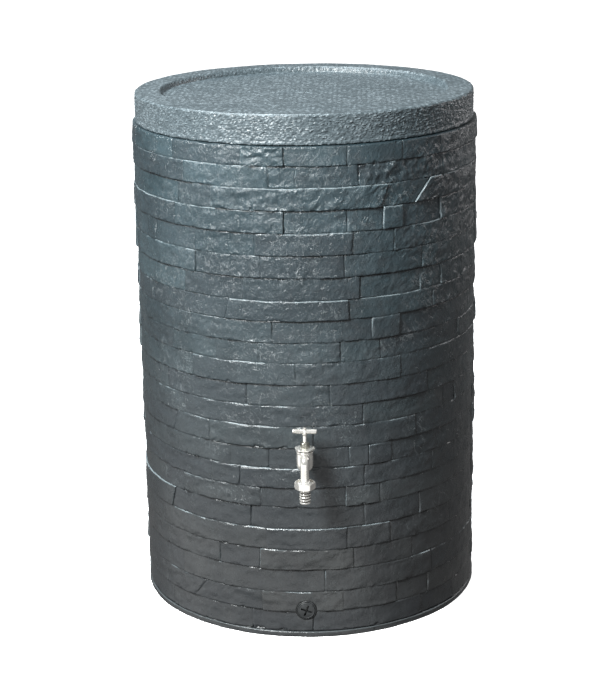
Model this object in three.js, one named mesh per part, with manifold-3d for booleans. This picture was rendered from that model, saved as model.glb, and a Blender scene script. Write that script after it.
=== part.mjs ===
// Rain barrel: a round 200-litre tank moulded as courses of split stone, with a lift-off lid,
// a chrome bib tap with a screwed hose tail, and a screwed drain plug near the floor.
// Millimetres, +Z up. The origin is the centre of the base, and the tap faces -Y.

import * as THREE from "three";
import { mergeVertices } from "three/addons/utils/BufferGeometryUtils.js";
import Module from "manifold-3d";

const wasm = await Module();
wasm.setup();

// ---------- Driving dimensions ----------

const GAP = 0.3; // clearance between pieces that touch
const OVERCUT = 1; // how far a cutter goes past the face that it cuts
const THREAD_GAP = 0.4; // clearance between a thread, drawn as a plain cylinder, and its hole

// Tank
const WALL_RADIUS = 285; // the wall before the stones stand out from it
const INNER_RADIUS = 279.5;
const FLOOR_Z = 12; // top of the tank's floor
const SHOULDER_Z = 819; // ledge under the lid
const NECK_OUTER = 277.5;
const NECK_INNER = 271.5;
const NECK_TOP_Z = 863.5;
const RIM_TOP_Z = 10; // plain band round the foot
const RIM_RELIEF = 3;
const RIM_EDGE = 0.8; // height of the slope from the band to the stones
const FOOT_CHAMFER = [4, 2.5]; // radius and height
const SHOULDER_INSET = 2; // the shoulder's edge lies this far inside the wall
const NECK_FOOT_DROP = 2; // the neck's inside goes down this far below the shoulder,
const SHOULDER_SLOPE = 10; // then slopes out to the wall over this height
const FLOOR_CORNER = 8; // slope between wall and floor, inside
const FOOT_RINGS = [[110, 132], [205, 227]]; // inner and outer radius of each ring
const FOOT_RING_DEPTH = 4;
const JOINT_HALF = 0.3; // half the width of an upright joint between stones, in degrees
const COURSE_GAP = 1.4; // height of the slope from one course to the next
const STONE_LEAN = 0.6; // a stone's lower edge stands out this much more than its middle
const STONE_STEP = 13; // widest flat facet along a stone, in degrees
const ROUND_STEPS = 56; // facets round the plain rings of tank and lid

// Lid
const LID_TOP_Z = 868;
const LID_BOTTOM_Z = 820.6;
const LID_BOTTOM_RADIUS = 283;
const LID_TOP_RADIUS = 281.6;
const LID_LIP = 3.5; // rounding of the top edge
const LID_WALL = 3.8;
const TRAY_RADIUS = 241; // where the flat rim ends and the tray begins
const TRAY_DEPTH = 9.6;
const TRAY_SLOPE = 5.5;
const TRAY_CORNER = [2, 1]; // width and height of the slope's foot

// Tap: its spindle axis is upright, in front of the wall
const TAP_X = 2.8; // it sits a little to one side of the drain plug
const TAP_Z = 318; // height of the inlet's centre line
const TAP_Y = -322; // spindle axis
const TAP_PAD_Y = -286; // flat pad moulded on the wall
const TAP_PAD_RADIUS = 15;
const TAP_HOLE_RADIUS = 10.7;
const INNER_PAD_Y = -278.2; // flat pad inside the tank
const INNER_PAD_RADIUS = 21;
const SHANK_RADIUS = 10.3; // threaded tube through the wall
const BODY_RADIUS = 13.5;
const BODY_BOTTOM = -13; // this and all heights below are from the inlet's centre line
const BODY_TOP = 21.4;
const BODY_BOWL = [[6.5, 0], [10.6, 2.4], [12.8, 6.2], [13.5, 11]]; // radius, height over its bottom
const INLET_RADIUS = 8.4;
const INLET_BORE = 5.6;
const INLET_FLANGE_RADIUS = 13;
const SHANK_REACH = 25; // how far the shank runs inwards from the pad
const SPOUT_RADIUS = 7.1;
const SPOUT_BORE = 4.6;
const SPOUT_REACH = 20; // from spindle axis to spout axis
const SPOUT_AXIS_Z = 12.4; // where the spout leaves the body
const SPOUT_BEND = 8;
const COLLAR_RADIUS = 12.9; // threaded collar at the spout's end
const COLLAR_TOP = -24.6;
const COLLAR_BOTTOM = -31.2;
const SPINDLE_RADIUS = 3.1;
const SPINDLE_SCREW_RADIUS = 5;
const TBAR_Z = 53.4;
const TBAR_LENGTH = 39;
const TBAR_RADIUS = 3.7;
const TBAR_CHAMFER = 1;
const TBAR_BOSS_RADIUS = 4.1;
const HANDLE_SCREW = [[3, 0], [2.8, 1], [1.6, 2], [0, 2.4]]; // radius and height of its dome
const TBAR_TURN = -2; // how the handle stands, in degrees
const BONNET_TURN = -8; // and the bonnet's corners
const HEADWORK_CORNERS = 34; // across the bonnet's corners
const GLAND_CORNERS = 15.4;
const UNION_CORNERS = 34.6;
const UNION_TOP = -24.2;
const UNION_BOTTOM = -37.8;
const TAIL_RADIUS = 9;
const TAIL_BORE = 5.2;
const TAIL_BOTTOM = -60;
const TAIL_RIBS = 4;
const TAIL_RIB_PITCH = 5;

// Drain plug
const DRAIN_Z = 48;
const DRAIN_PAD_Y = -283.2;
const DRAIN_PAD_RADIUS = 17.6;
const DRAIN_HOLE_RADIUS = 13.4;
const DRAIN_FLANGE_RADIUS = 16.5;
const DRAIN_HEAD_RADIUS = 14.2;
const CROSS_TURN = -20; // how the key recess stands, in degrees

// Stones, from the top course down. Each course gives the height of its lower joint, then
// [start angle, relief] for each stone across the front: degrees from the tap, positive
// towards +X, and millimetres that the stone stands out from the wall.
const COURSES = [
  [788, [[-75, 2], [-47, 2], [-20.5, 3.5], [-6.6, 3], [13, 3], [32, 2.5], [48, 3]]],
  [754, [[-80, 3], [-42, 3.5], [-11.5, 2], [-3.2, 2.5], [16.7, 1.5], [49.5, 2.5]]],
  [718, [[-80, 1.5], [-67, 1], [-45, 1.5], [-31, 4.5], [25.4, 2], [40, 4]]],
  [682, [[-80, 3], [-46.5, 3.5], [-7, 2], [12.9, 2.2], [24.8, 4.5], [32, 1], [48.5, 2.5]]],
  [646, [[-80, 2], [-58, 1.5], [-38, 1.8], [-16.4, 4], [14.7, 2.5], [28.8, 2.8]]],
  [610, [[-80, 2.5], [-38, 2.5], [-14.7, 3], [11.9, 2.8], [39.6, 3.5], [54.5, 2.5]]],
  [574, [[-80, 1], [-43, 1.5], [-20.7, 2], [17, 0.5], [39, 1], [49, 2.5]]],
  [541, [[-80, 1.5], [-62, 1.8], [-26.3, 4], [13.2, 2.2], [44.8, 2.5]]],
  [505, [[-80, 2.2], [-11.3, 1.8], [20.8, 3.5], [31, 1], [69, 0.5]]],
  [472, [[-80, 1.5], [-50, 2], [-30.8, 1.5], [-16, 2.2], [10.4, 1.8], [23.8, 1.5], [59.8, 2]]],
  [435, [[-80, 2], [-40.6, 3.2], [-4, 2.6], [31.3, 2.2]]],
  [400, [[-80, 1.5], [-53.8, 1.2], [-20.4, 1.8], [6.8, 2.2], [42.5, 1.5]]],
  [366, [[-80, 1], [-60, 2.5], [-45.7, 1.8], [17.7, 1.5], [50.5, 0.8], [58, 2]]],
  [329, [[-80, 2], [-50, 2.5], [-34.4, 3], [1.3, 2.5], [37.5, 1.8]]],
  [295, [[-80, 1.5], [-26.6, 1.2], [-13.2, 1.6], [13, 2.5], [19.5, 3], [27.8, 1.5]]],
  [261, [[-80, 1.5], [-34, 2.5], [-23.3, 3], [18, 2], [45, 2]]],
  [228, [[-80, 1], [-57, 1.5], [-46.9, 3.2], [-15.9, 1.5], [11.6, 3], [23.5, 1.8]]],
  [191, [[-80, 4], [-52.5, 2], [-19.8, 1.2], [18, 1.5], [39, 2]]],
  [154, [[-80, 3.2], [-14.6, 3.5], [12, 3], [27.2, 1.8], [54.5, 1]]],
  [119, [[-80, 2.8], [-31.6, 1.8], [-16.9, 4], [14.2, 2.5], [35.8, 1.2]]],
  [80, [[-80, 2], [-48.5, 2.2], [4.5, 3], [44.5, 2.8]]],
  [44.5, [[-80, 2.5], [-40, 2.5], [-16.5, 3], [10.6, 3], [29.6, 1.5], [43, 2]]],
  [RIM_TOP_Z, [[-80, 1.5], [-55, 2], [-20, 1.5], [0.5, 2], [39.8, 1.5], [56.8, 2]]],
];
const PATTERN_TURN = 1.75; // degrees that the whole pattern is turned towards +X
const FRONT_END = 77; // the listed stones end about here
const BACK_LENGTH = [15, 36]; // shortest and longest stone round the back, in degrees
const BACK_RELIEF = [0.8, 4.2];

// ---------- Materials ----------

function finish(color, roughness, metalness = 0) {
  return new THREE.MeshStandardMaterial({ color, roughness, metalness, flatShading: true });
}

const slatePlastic = () => finish(0x4d585d, 0.5);
const lidPlastic = () => finish(0x6c7a80, 0.45);
const chrome = () => finish(0xd8d8d6, 0.12, 1);
const brass = () => finish(0xb9995a, 0.35, 1);
const rubber = () => finish(0x1c1c1c, 0.85);
const blackPlastic = () => finish(0x202325, 0.5);

// ---------- Solids ----------

// A closed geometry as a manifold solid, with its faces turned outwards.
function solid(geometry) {
  const bare = geometry.index ? geometry.toNonIndexed() : geometry.clone();
  for (const name of Object.keys(bare.attributes)) {
    if (name !== "position") bare.deleteAttribute(name);
  }
  const merged = mergeVertices(bare, 1e-3);
  const corners = merged.index.array;
  const kept = [];
  for (let i = 0; i < corners.length; i += 3) {
    const [a, b, c] = corners.slice(i, i + 3);
    if (a !== b && b !== c && c !== a) kept.push(a, b, c);
  }
  const vertProperties = merged.attributes.position.array;
  const made = new wasm.Manifold(
    new wasm.Mesh({ numProp: 3, vertProperties, triVerts: new Uint32Array(kept) }),
  );
  if (made.volume() > 0) return made;
  const turned = new Uint32Array([...kept].reverse());
  return new wasm.Manifold(new wasm.Mesh({ numProp: 3, vertProperties, triVerts: turned }));
}

function geometryOf(made) {
  const mesh = made.getMesh();
  const geometry = new THREE.BufferGeometry();
  geometry.setAttribute("position", new THREE.BufferAttribute(mesh.vertProperties, 3));
  geometry.setIndex(new THREE.BufferAttribute(mesh.triVerts, 1));
  geometry.computeVertexNormals();
  return geometry;
}

// A profile of [radius, height] points turned about the Z axis. It closes on itself, or
// starts and ends on the axis.
function revolve(profile, steps = 28) {
  const points = profile.map(([r, z]) => new THREE.Vector2(r, z));
  const onAxis = points[0].x === 0 && points[points.length - 1].x === 0;
  if (!onAxis) points.push(points[0].clone());
  return solid(new THREE.LatheGeometry(points, steps).rotateX(Math.PI / 2));
}

function disc(radius, low, high, steps = 28) {
  return revolve([[0, low], [radius, low], [radius, high], [0, high]], steps);
}

function ring(inner, outer, low, high, steps = 20) {
  return revolve([[inner, low], [outer, low], [outer, high], [inner, high]], steps);
}

// A hexagonal prism with two flats facing -Y and +Y. Its corners are cut back by cones:
// top and bottom say how far down the corner the cut starts.
function hexagon(corners, low, high, top = 0, bottom = 0) {
  const radius = corners / 2;
  const shape = new THREE.Shape();
  for (let i = 0; i < 6; i++) {
    const turn = (i * Math.PI) / 3;
    if (i === 0) shape.moveTo(radius, 0);
    else shape.lineTo(radius * Math.cos(turn), radius * Math.sin(turn));
  }
  const bar = new THREE.ExtrudeGeometry(shape, { depth: high - low, bevelEnabled: false });
  const cones = revolve([
    [0, low],
    [radius - 1.7 * bottom, low],
    [radius + 0.1, low + bottom],
    [radius + 0.1, high - top],
    [radius - 1.7 * top, high],
    [0, high],
  ]);
  return solid(bar.translate(0, 0, low)).intersect(cones);
}

// A round bar along a curve.
function bent(curve, radius, steps, sides = 9) {
  const shape = new THREE.Shape();
  shape.absarc(0, 0, radius, 0, 2 * Math.PI);
  const options = { steps, curveSegments: sides, extrudePath: curve, bevelEnabled: false };
  return solid(new THREE.ExtrudeGeometry(shape, options));
}

// A bar along Y, for holes and pads through the wall.
function barAlongY(radius, from, to, x, z) {
  const bar = new THREE.CylinderGeometry(radius, radius, Math.abs(to - from), 28);
  return solid(bar.translate(x, (from + to) / 2, z));
}

// A sealing ring that fills the room between two faces, but for the clearance.
function seal(inner, outer, low, high) {
  return geometryOf(ring(inner, outer, low + GAP, high - GAP));
}

// ---------- Tank ----------

// Numbers from 0 to 1 that come out the same every time.
function seededNumbers(seed) {
  let state = seed;
  return () => {
    state = (state * 16807) % 2147483647;
    return state / 2147483647;
  };
}

// All stones of a course, front and back, as { start, end, relief } with angles in degrees.
function stonesOf(courseIndex) {
  const next = seededNumbers(courseIndex * 977 + 13);
  const between = ([low, high]) => low + (high - low) * next();
  const listed = COURSES[courseIndex][1].map(([start, relief]) => ({ start, relief }));
  listed[0].start -= 14 * next();
  const last = listed[listed.length - 1];
  const stones = [...listed];
  const close = listed[0].start + 360;
  let start = Math.max(FRONT_END, last.start + between(BACK_LENGTH));
  while (close - start > BACK_LENGTH[0]) {
    stones.push({ start, relief: between(BACK_RELIEF) });
    start += between(BACK_LENGTH);
  }
  return stones.map((stone, i) => ({
    start: stone.start + PATTERN_TURN,
    end: (i + 1 < stones.length ? stones[i + 1].start : close) + PATTERN_TURN,
    relief: stone.relief,
  }));
}

// The corners of a course's outline, as [angle, radius]: both ends of every stone, and
// enough between them to follow the round wall.
function courseOutline(stones, lean) {
  const outline = [];
  for (const { start, end, relief } of stones) {
    const steps = Math.ceil((end - start) / STONE_STEP);
    for (let i = 0; i <= steps; i++) {
      const share = i / steps;
      const angle = start + JOINT_HALF + (end - start - 2 * JOINT_HALF) * share;
      outline.push([angle, WALL_RADIUS + relief + lean]);
    }
  }
  return outline;
}

function roundOutline(radius) {
  const outline = [];
  for (let i = 0; i < ROUND_STEPS; i++) outline.push([(360 * i) / ROUND_STEPS - 90, radius]);
  return outline;
}

// The rings of the tank's surface, from the middle of the underside, up the outside, over
// the neck and down the inside to the middle of the floor.
function tankRings() {
  const rings = [];
  const plain = (radius, z) => rings.push({ z, outline: roundOutline(radius) });
  plain(WALL_RADIUS + RIM_RELIEF - FOOT_CHAMFER[0], 0);
  plain(WALL_RADIUS + RIM_RELIEF, FOOT_CHAMFER[1]);
  plain(WALL_RADIUS + RIM_RELIEF, RIM_TOP_Z - RIM_EDGE);
  let top = SHOULDER_Z;
  const courses = COURSES.map(([bottom], index) => {
    const course = { bottom, top, stones: stonesOf(index) };
    top = bottom;
    return course;
  });
  for (const { bottom, top: upper, stones } of courses.reverse()) {
    const low = bottom + COURSE_GAP / 2;
    const high = upper - COURSE_GAP / 2;
    rings.push({ z: low, outline: courseOutline(stones, STONE_LEAN) });
    rings.push({ z: high, outline: courseOutline(stones, -STONE_LEAN) });
  }
  plain(WALL_RADIUS - SHOULDER_INSET, SHOULDER_Z);
  plain(NECK_OUTER, SHOULDER_Z);
  plain(NECK_OUTER, NECK_TOP_Z);
  plain(NECK_INNER, NECK_TOP_Z);
  plain(NECK_INNER, SHOULDER_Z - NECK_FOOT_DROP);
  plain(INNER_RADIUS, SHOULDER_Z - NECK_FOOT_DROP - SHOULDER_SLOPE);
  plain(INNER_RADIUS, FLOOR_Z + FLOOR_CORNER);
  plain(INNER_RADIUS - FLOOR_CORNER, FLOOR_Z);
  return rings;
}

// Triangles between two closed outlines: each step moves on along the one that is behind.
function zip(lower, upper, faces) {
  const angleAt = (loop, i) => loop[i % loop.length].angle + 360 * Math.floor(i / loop.length);
  let i = 0;
  let j = 0;
  while (i < lower.length || j < upper.length) {
    const a = lower[i % lower.length].index;
    const b = upper[j % upper.length].index;
    const behind = angleAt(lower, i + 1) <= angleAt(upper, j + 1);
    if (j >= upper.length || (i < lower.length && behind)) {
      faces.push(a, lower[(i + 1) % lower.length].index, b);
      i += 1;
    } else {
      faces.push(a, upper[(j + 1) % upper.length].index, b);
      j += 1;
    }
  }
}

// The point of each outline nearest to the back comes first, so that all rings start alike.
function startAtBack(outline) {
  const wrapped = outline.map(([angle, radius]) => [((angle % 360) + 540) % 360 - 180, radius]);
  return wrapped.sort((a, b) => a[0] - b[0]);
}

function tankSurface() {
  const positions = [];
  const faces = [];
  const point = (x, y, z) => positions.push(x, y, z) / 3 - 1;
  const loops = tankRings().map(({ z, outline }) =>
    startAtBack(outline).map(([angle, radius]) => {
      const turn = THREE.MathUtils.degToRad(angle);
      return { angle, index: point(radius * Math.sin(turn), -radius * Math.cos(turn), z) };
    }),
  );
  for (let k = 0; k + 1 < loops.length; k++) zip(loops[k], loops[k + 1], faces);
  const underside = point(0, 0, 0);
  const floor = point(0, 0, FLOOR_Z);
  const last = loops[loops.length - 1];
  loops[0].forEach((p, i) => faces.push(underside, loops[0][(i + 1) % loops[0].length].index, p.index));
  last.forEach((p, i) => faces.push(floor, p.index, last[(i + 1) % last.length].index));
  const geometry = new THREE.BufferGeometry();
  geometry.setAttribute("position", new THREE.Float32BufferAttribute(positions, 3));
  geometry.setIndex(faces);
  return solid(geometry);
}

// The wall with its pads and holes, and two shallow stiffening rings under the foot.
function makeTank() {
  const outside = -320; // the cutters start well outside the wall
  const inside = -262; // and end well inside it
  const cuts = [
    barAlongY(TAP_PAD_RADIUS, outside, TAP_PAD_Y, TAP_X, TAP_Z),
    barAlongY(TAP_HOLE_RADIUS, outside, inside, TAP_X, TAP_Z),
    barAlongY(INNER_PAD_RADIUS, INNER_PAD_Y, inside, TAP_X, TAP_Z),
    barAlongY(DRAIN_PAD_RADIUS, outside, DRAIN_PAD_Y, 0, DRAIN_Z),
    barAlongY(DRAIN_HOLE_RADIUS, outside, inside, 0, DRAIN_Z),
    barAlongY(INNER_PAD_RADIUS, INNER_PAD_Y, inside, 0, DRAIN_Z),
    ...FOOT_RINGS.map(([inner, outer]) => ring(inner, outer, -OVERCUT, FOOT_RING_DEPTH, ROUND_STEPS)),
  ];
  let tank = tankSurface();
  for (const cut of cuts) tank = tank.subtract(cut);
  return geometryOf(tank);
}

// ---------- Lid ----------

// Built on the height of its lower edge, which hangs just over the shoulder.
function makeLid() {
  const top = LID_TOP_Z - LID_BOTTOM_Z;
  const tray = top - TRAY_DEPTH;
  const lip = (share) => {
    const turn = (share * Math.PI) / 2;
    const radius = LID_TOP_RADIUS - LID_LIP * (1 - Math.cos(turn));
    return [radius, top - LID_LIP * (1 - Math.sin(turn))];
  };
  const profile = [
    [LID_BOTTOM_RADIUS, 0],
    ...[0, 0.33, 0.67, 1].map(lip),
    [TRAY_RADIUS, top],
    [TRAY_RADIUS - TRAY_SLOPE, tray + TRAY_CORNER[1]],
    [TRAY_RADIUS - TRAY_SLOPE - TRAY_CORNER[0], tray],
    [0, tray],
    [0, tray - LID_WALL],
    [TRAY_RADIUS - TRAY_SLOPE - 3, tray - LID_WALL],
    [TRAY_RADIUS - 1, top - LID_WALL],
    [LID_TOP_RADIUS - LID_WALL + 1, top - LID_WALL],
    [LID_BOTTOM_RADIUS - LID_WALL, 0],
  ];
  const half = profile.findIndex(([r]) => r === 0);
  const fromAxis = [...profile.slice(half + 1), ...profile.slice(0, half + 1)];
  return geometryOf(revolve(fromAxis, ROUND_STEPS));
}

// ---------- Tap ----------
// Pieces of the tap are built about the point where the inlet's centre line meets the
// spindle axis: +Z is up the spindle and +Y runs back to the wall.

const PAD_FROM_SPINDLE = TAP_PAD_Y - TAP_Y;
const OUTER_SEAL_ROOM = 2.8; // between the inlet's flange and the pad
const INLET_FLANGE_BACK = PAD_FROM_SPINDLE - OUTER_SEAL_ROOM;
const SEAT_Z = 7.4; // the face that the valve's washer closes on
const SEAT_RADIUS = 5;
const SEAT_THICKNESS = 1.2;
const CHAMBER_RADIUS = 10; // bore above the seat
const LOW_CHAMBER_RADIUS = 6.8;
const LOW_CHAMBER_FLOOR = BODY_BOTTOM + 4.5;
const SPOUT_STRAIGHT_Z = -10; // the spout runs straight down from here

function spoutCurve() {
  const bendCentreY = -(SPOUT_REACH - SPOUT_BEND);
  const points = [new THREE.Vector3(0, 0, SPOUT_AXIS_Z)];
  for (let i = 0; i <= 4; i++) {
    const turn = (i / 4) * (Math.PI / 2);
    const y = bendCentreY - SPOUT_BEND * Math.sin(turn);
    points.push(new THREE.Vector3(0, y, SPOUT_AXIS_Z - SPOUT_BEND * (1 - Math.cos(turn))));
  }
  points.push(new THREE.Vector3(0, -SPOUT_REACH, SPOUT_STRAIGHT_Z));
  points.push(new THREE.Vector3(0, -SPOUT_REACH, COLLAR_BOTTOM + 3));
  return new THREE.CatmullRomCurve3(points, false, "centripetal");
}

function alongY(made) {
  return solid(geometryOf(made).rotateX(-Math.PI / 2));
}

function makeTapBody() {
  const barrel = revolve([
    [0, BODY_BOTTOM],
    ...BODY_BOWL.map(([radius, height]) => [radius, BODY_BOTTOM + height]),
    [BODY_RADIUS, BODY_TOP],
    [0, BODY_TOP],
  ]);
  // Turned about Z, then laid along +Y: the pipe, its flange and the shank in the wall.
  const inlet = alongY(
    revolve([
      [0, 0],
      [INLET_RADIUS, 0],
      [INLET_RADIUS, INLET_FLANGE_BACK - 4.2],
      [INLET_FLANGE_RADIUS, INLET_FLANGE_BACK - 3],
      [INLET_FLANGE_RADIUS, INLET_FLANGE_BACK],
      [SHANK_RADIUS, INLET_FLANGE_BACK],
      [SHANK_RADIUS, PAD_FROM_SPINDLE + SHANK_REACH],
      [0, PAD_FROM_SPINDLE + SHANK_REACH],
    ]),
  );
  const collar = disc(COLLAR_RADIUS, COLLAR_BOTTOM, COLLAR_TOP).translate([0, -SPOUT_REACH, 0]);
  const spout = bent(spoutCurve(), SPOUT_RADIUS, 12);
  const spoutEnd = disc(SPOUT_BORE, COLLAR_BOTTOM - OVERCUT, SPOUT_STRAIGHT_Z, 20);
  const outside = barrel.add(inlet).add(collar).add(spout);
  const lowChamber = disc(LOW_CHAMBER_RADIUS, LOW_CHAMBER_FLOOR, SEAT_Z - SEAT_THICKNESS, 24);
  const seatHole = disc(SEAT_RADIUS, SEAT_Z - 2, SEAT_Z + OVERCUT, 24);
  const highChamber = disc(CHAMBER_RADIUS, SEAT_Z, BODY_TOP + OVERCUT);
  const inletBore = alongY(disc(INLET_BORE, 0, PAD_FROM_SPINDLE + SHANK_REACH + OVERCUT, 20));
  // The spout's bore starts just inside the wall of the upper chamber.
  const trimmedSpout = bent(spoutCurve(), SPOUT_BORE, 12, 6).subtract(
    disc(CHAMBER_RADIUS - 1.5, BODY_BOTTOM, BODY_TOP),
  );
  const endBore = spoutEnd.translate([0, -SPOUT_REACH, 0]);
  const hollow = [lowChamber, seatHole, highChamber, inletBore, trimmedSpout, endBore];
  return geometryOf(hollow.reduce((made, cut) => made.subtract(cut), outside));
}

const BONNET_LOW = BODY_TOP + 1.5; // leaves room for its seal
const BONNET_HIGH = BONNET_LOW + 2.8;
const BONNET_SKIRT = 3.2; // how far it reaches down into the chamber
const TOWER_RADIUS = 5.9;
const TOWER_HEIGHT = 2.4;
const SCREW_HOLE = SPINDLE_SCREW_RADIUS + THREAD_GAP;
const SCREW_HOLE_TOP = BODY_TOP + 1.6;
const STEM_HOLE = SPINDLE_RADIUS + THREAD_GAP;

function makeBonnet() {
  const flange = hexagon(HEADWORK_CORNERS, BONNET_LOW, BONNET_HIGH, 0.6, 1.4);
  const skirt = disc(CHAMBER_RADIUS - THREAD_GAP, BODY_TOP - BONNET_SKIRT, BONNET_LOW + 0.5);
  const tower = disc(TOWER_RADIUS, BONNET_HIGH - 0.5, BONNET_HIGH + TOWER_HEIGHT);
  const hole = disc(SCREW_HOLE, BODY_TOP - BONNET_SKIRT - OVERCUT, SCREW_HOLE_TOP, 24);
  const stemHole = disc(STEM_HOLE, BODY_TOP, BONNET_HIGH + TOWER_HEIGHT + OVERCUT, 24);
  const made = flange.add(skirt).add(tower).subtract(hole).subtract(stemHole);
  return geometryOf(made.rotate([0, 0, BONNET_TURN]));
}

const GLAND_LOW = BONNET_HIGH + GAP;
const GLAND_HIGH = GLAND_LOW + 9.6;
const GLAND_ROOF = 2.4;
const GLAND_POCKET_RADIUS = 6.2;

function makeGlandNut() {
  const nut = hexagon(GLAND_CORNERS, GLAND_LOW, GLAND_HIGH, 1.1, 0.4);
  const pocket = disc(GLAND_POCKET_RADIUS, GLAND_LOW - OVERCUT, GLAND_HIGH - GLAND_ROOF, 24);
  const hole = disc(STEM_HOLE, GLAND_LOW, GLAND_HIGH + OVERCUT, 24);
  return geometryOf(nut.subtract(pocket).subtract(hole));
}

function makeGlandPacking() {
  const low = BONNET_HIGH + TOWER_HEIGHT + GAP;
  const high = GLAND_HIGH - GLAND_ROOF - GAP;
  return geometryOf(ring(STEM_HOLE, GLAND_POCKET_RADIUS - THREAD_GAP, low, high, 24));
}

const WASHER_LOW = SEAT_Z + GAP;
const WASHER_THICKNESS = 3;
const WASHER_RADIUS = 7.4;
const JUMPER_LOW = WASHER_LOW + WASHER_THICKNESS + GAP;
const JUMPER_PLATE = 2;
const JUMPER_PLATE_RADIUS = 7.6;
const JUMPER_PIN_RADIUS = 2;
const JUMPER_HEIGHT = 6.6;
const SPINDLE_LOW = JUMPER_LOW + JUMPER_PLATE + GAP;
const SPINDLE_SHOULDER = BODY_TOP - 4; // leaves room for the valve's lift
const SPINDLE_COLLAR_RADIUS = SPINDLE_RADIUS + 0.9; // under the handle
const SPINDLE_TOP = TBAR_Z - TBAR_RADIUS - GAP;

function makeValveWasher() {
  return geometryOf(disc(WASHER_RADIUS, WASHER_LOW, WASHER_LOW + WASHER_THICKNESS, 24));
}

// A plate that holds the washer, and a pin that stands loose in the spindle.
function makeJumper() {
  const plate = disc(JUMPER_PLATE_RADIUS, JUMPER_LOW, JUMPER_LOW + JUMPER_PLATE, 24);
  const pin = disc(JUMPER_PIN_RADIUS, JUMPER_LOW + JUMPER_PLATE / 2, JUMPER_LOW + JUMPER_HEIGHT, 16);
  return geometryOf(plate.add(pin));
}

function makeSpindle() {
  const stem = revolve([
    [0, SPINDLE_LOW],
    [SPINDLE_SCREW_RADIUS, SPINDLE_LOW],
    [SPINDLE_SCREW_RADIUS, SPINDLE_SHOULDER],
    [SPINDLE_RADIUS, SPINDLE_SHOULDER + 0.6],
    [SPINDLE_RADIUS, SPINDLE_TOP - 1.9],
    [SPINDLE_COLLAR_RADIUS, SPINDLE_TOP - 0.6],
    [SPINDLE_COLLAR_RADIUS, SPINDLE_TOP],
    [0, SPINDLE_TOP],
  ], 24);
  const pinHole = disc(JUMPER_PIN_RADIUS + THREAD_GAP, SPINDLE_LOW - OVERCUT, SPINDLE_LOW + 5.6, 16);
  return geometryOf(stem.subtract(pinHole));
}

// A bar along X with rounded ends and a flat boss, top and bottom, where the screw goes in.
function makeTbar() {
  const half = TBAR_LENGTH / 2;
  const bar = revolve([
    [0, -half],
    [TBAR_RADIUS - TBAR_CHAMFER, -half],
    [TBAR_RADIUS, -half + TBAR_CHAMFER],
    [TBAR_RADIUS, half - TBAR_CHAMFER],
    [TBAR_RADIUS - TBAR_CHAMFER, half],
    [0, half],
  ], 16);
  const across = solid(geometryOf(bar).rotateY(Math.PI / 2));
  const boss = disc(TBAR_BOSS_RADIUS, -TBAR_RADIUS, TBAR_RADIUS, 20);
  return geometryOf(across.add(boss).rotate([0, 0, TBAR_TURN]).translate([0, 0, TBAR_Z]));
}

function makeHandleScrew() {
  const low = TBAR_Z + TBAR_RADIUS + GAP;
  const dome = HANDLE_SCREW.map(([radius, height]) => [radius, low + height]);
  return geometryOf(revolve([[0, low], ...dome], 20));
}

// ---------- Hose tail and its union nut: built about the spout's axis ----------

const TAIL_WASHER_HIGH = COLLAR_BOTTOM - GAP;
const TAIL_WASHER_THICKNESS = 1.6;
const TAIL_FLANGE_RADIUS = 11.2;
const TAIL_FLANGE_THICKNESS = 2;
const TAIL_FLANGE_HIGH = TAIL_WASHER_HIGH - TAIL_WASHER_THICKNESS - GAP;
const TAIL_FLANGE_LOW = TAIL_FLANGE_HIGH - TAIL_FLANGE_THICKNESS;
const UNION_LIP_HIGH = TAIL_FLANGE_LOW - GAP;
const UNION_TAPER = [[11, 0], [16.8, 3.6], [18, 4.8]]; // radius and height over its lower end
const RIB_DEPTH = 1.2;

function makeUnionNut() {
  const bar = hexagon(UNION_CORNERS, UNION_BOTTOM, UNION_TOP, 1, 0);
  const taper = revolve([
    [0, UNION_BOTTOM],
    ...UNION_TAPER.map(([radius, height]) => [radius, UNION_BOTTOM + height]),
    [18, UNION_TOP],
    [0, UNION_TOP],
  ]);
  const thread = disc(COLLAR_RADIUS + THREAD_GAP, COLLAR_BOTTOM - GAP, UNION_TOP + OVERCUT);
  const pocket = disc(TAIL_FLANGE_RADIUS + THREAD_GAP, UNION_LIP_HIGH, UNION_TOP);
  const hole = disc(TAIL_RADIUS + THREAD_GAP, UNION_BOTTOM - OVERCUT, UNION_TOP);
  return geometryOf(bar.intersect(taper).subtract(thread).subtract(pocket).subtract(hole));
}

function makeHoseTail() {
  const profile = [
    [TAIL_BORE, TAIL_BOTTOM],
    [TAIL_RADIUS - 1.6, TAIL_BOTTOM],
    [TAIL_RADIUS - 0.4, TAIL_BOTTOM + 1.2],
  ];
  for (let i = 0; i < TAIL_RIBS; i++) {
    const low = TAIL_BOTTOM + 1.6 + i * TAIL_RIB_PITCH;
    profile.push([TAIL_RADIUS - RIB_DEPTH, low + 0.2]);
    profile.push([TAIL_RADIUS, low + TAIL_RIB_PITCH - 1.4]);
    profile.push([TAIL_RADIUS - RIB_DEPTH, low + TAIL_RIB_PITCH - 0.4]);
  }
  profile.push([TAIL_RADIUS - RIB_DEPTH, TAIL_FLANGE_LOW]);
  profile.push([TAIL_FLANGE_RADIUS, TAIL_FLANGE_LOW]);
  profile.push([TAIL_FLANGE_RADIUS, TAIL_FLANGE_HIGH]);
  profile.push([TAIL_BORE, TAIL_FLANGE_HIGH]);
  return geometryOf(revolve(profile, 24));
}

function makeTailWasher() {
  const low = TAIL_WASHER_HIGH - TAIL_WASHER_THICKNESS;
  return geometryOf(ring(TAIL_BORE + 0.6, TAIL_FLANGE_RADIUS, low, TAIL_WASHER_HIGH, 24));
}

// ---------- Fixings through the wall ----------
// Built outwards from the pad on the wall: +Z is the way out of the tank.

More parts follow.
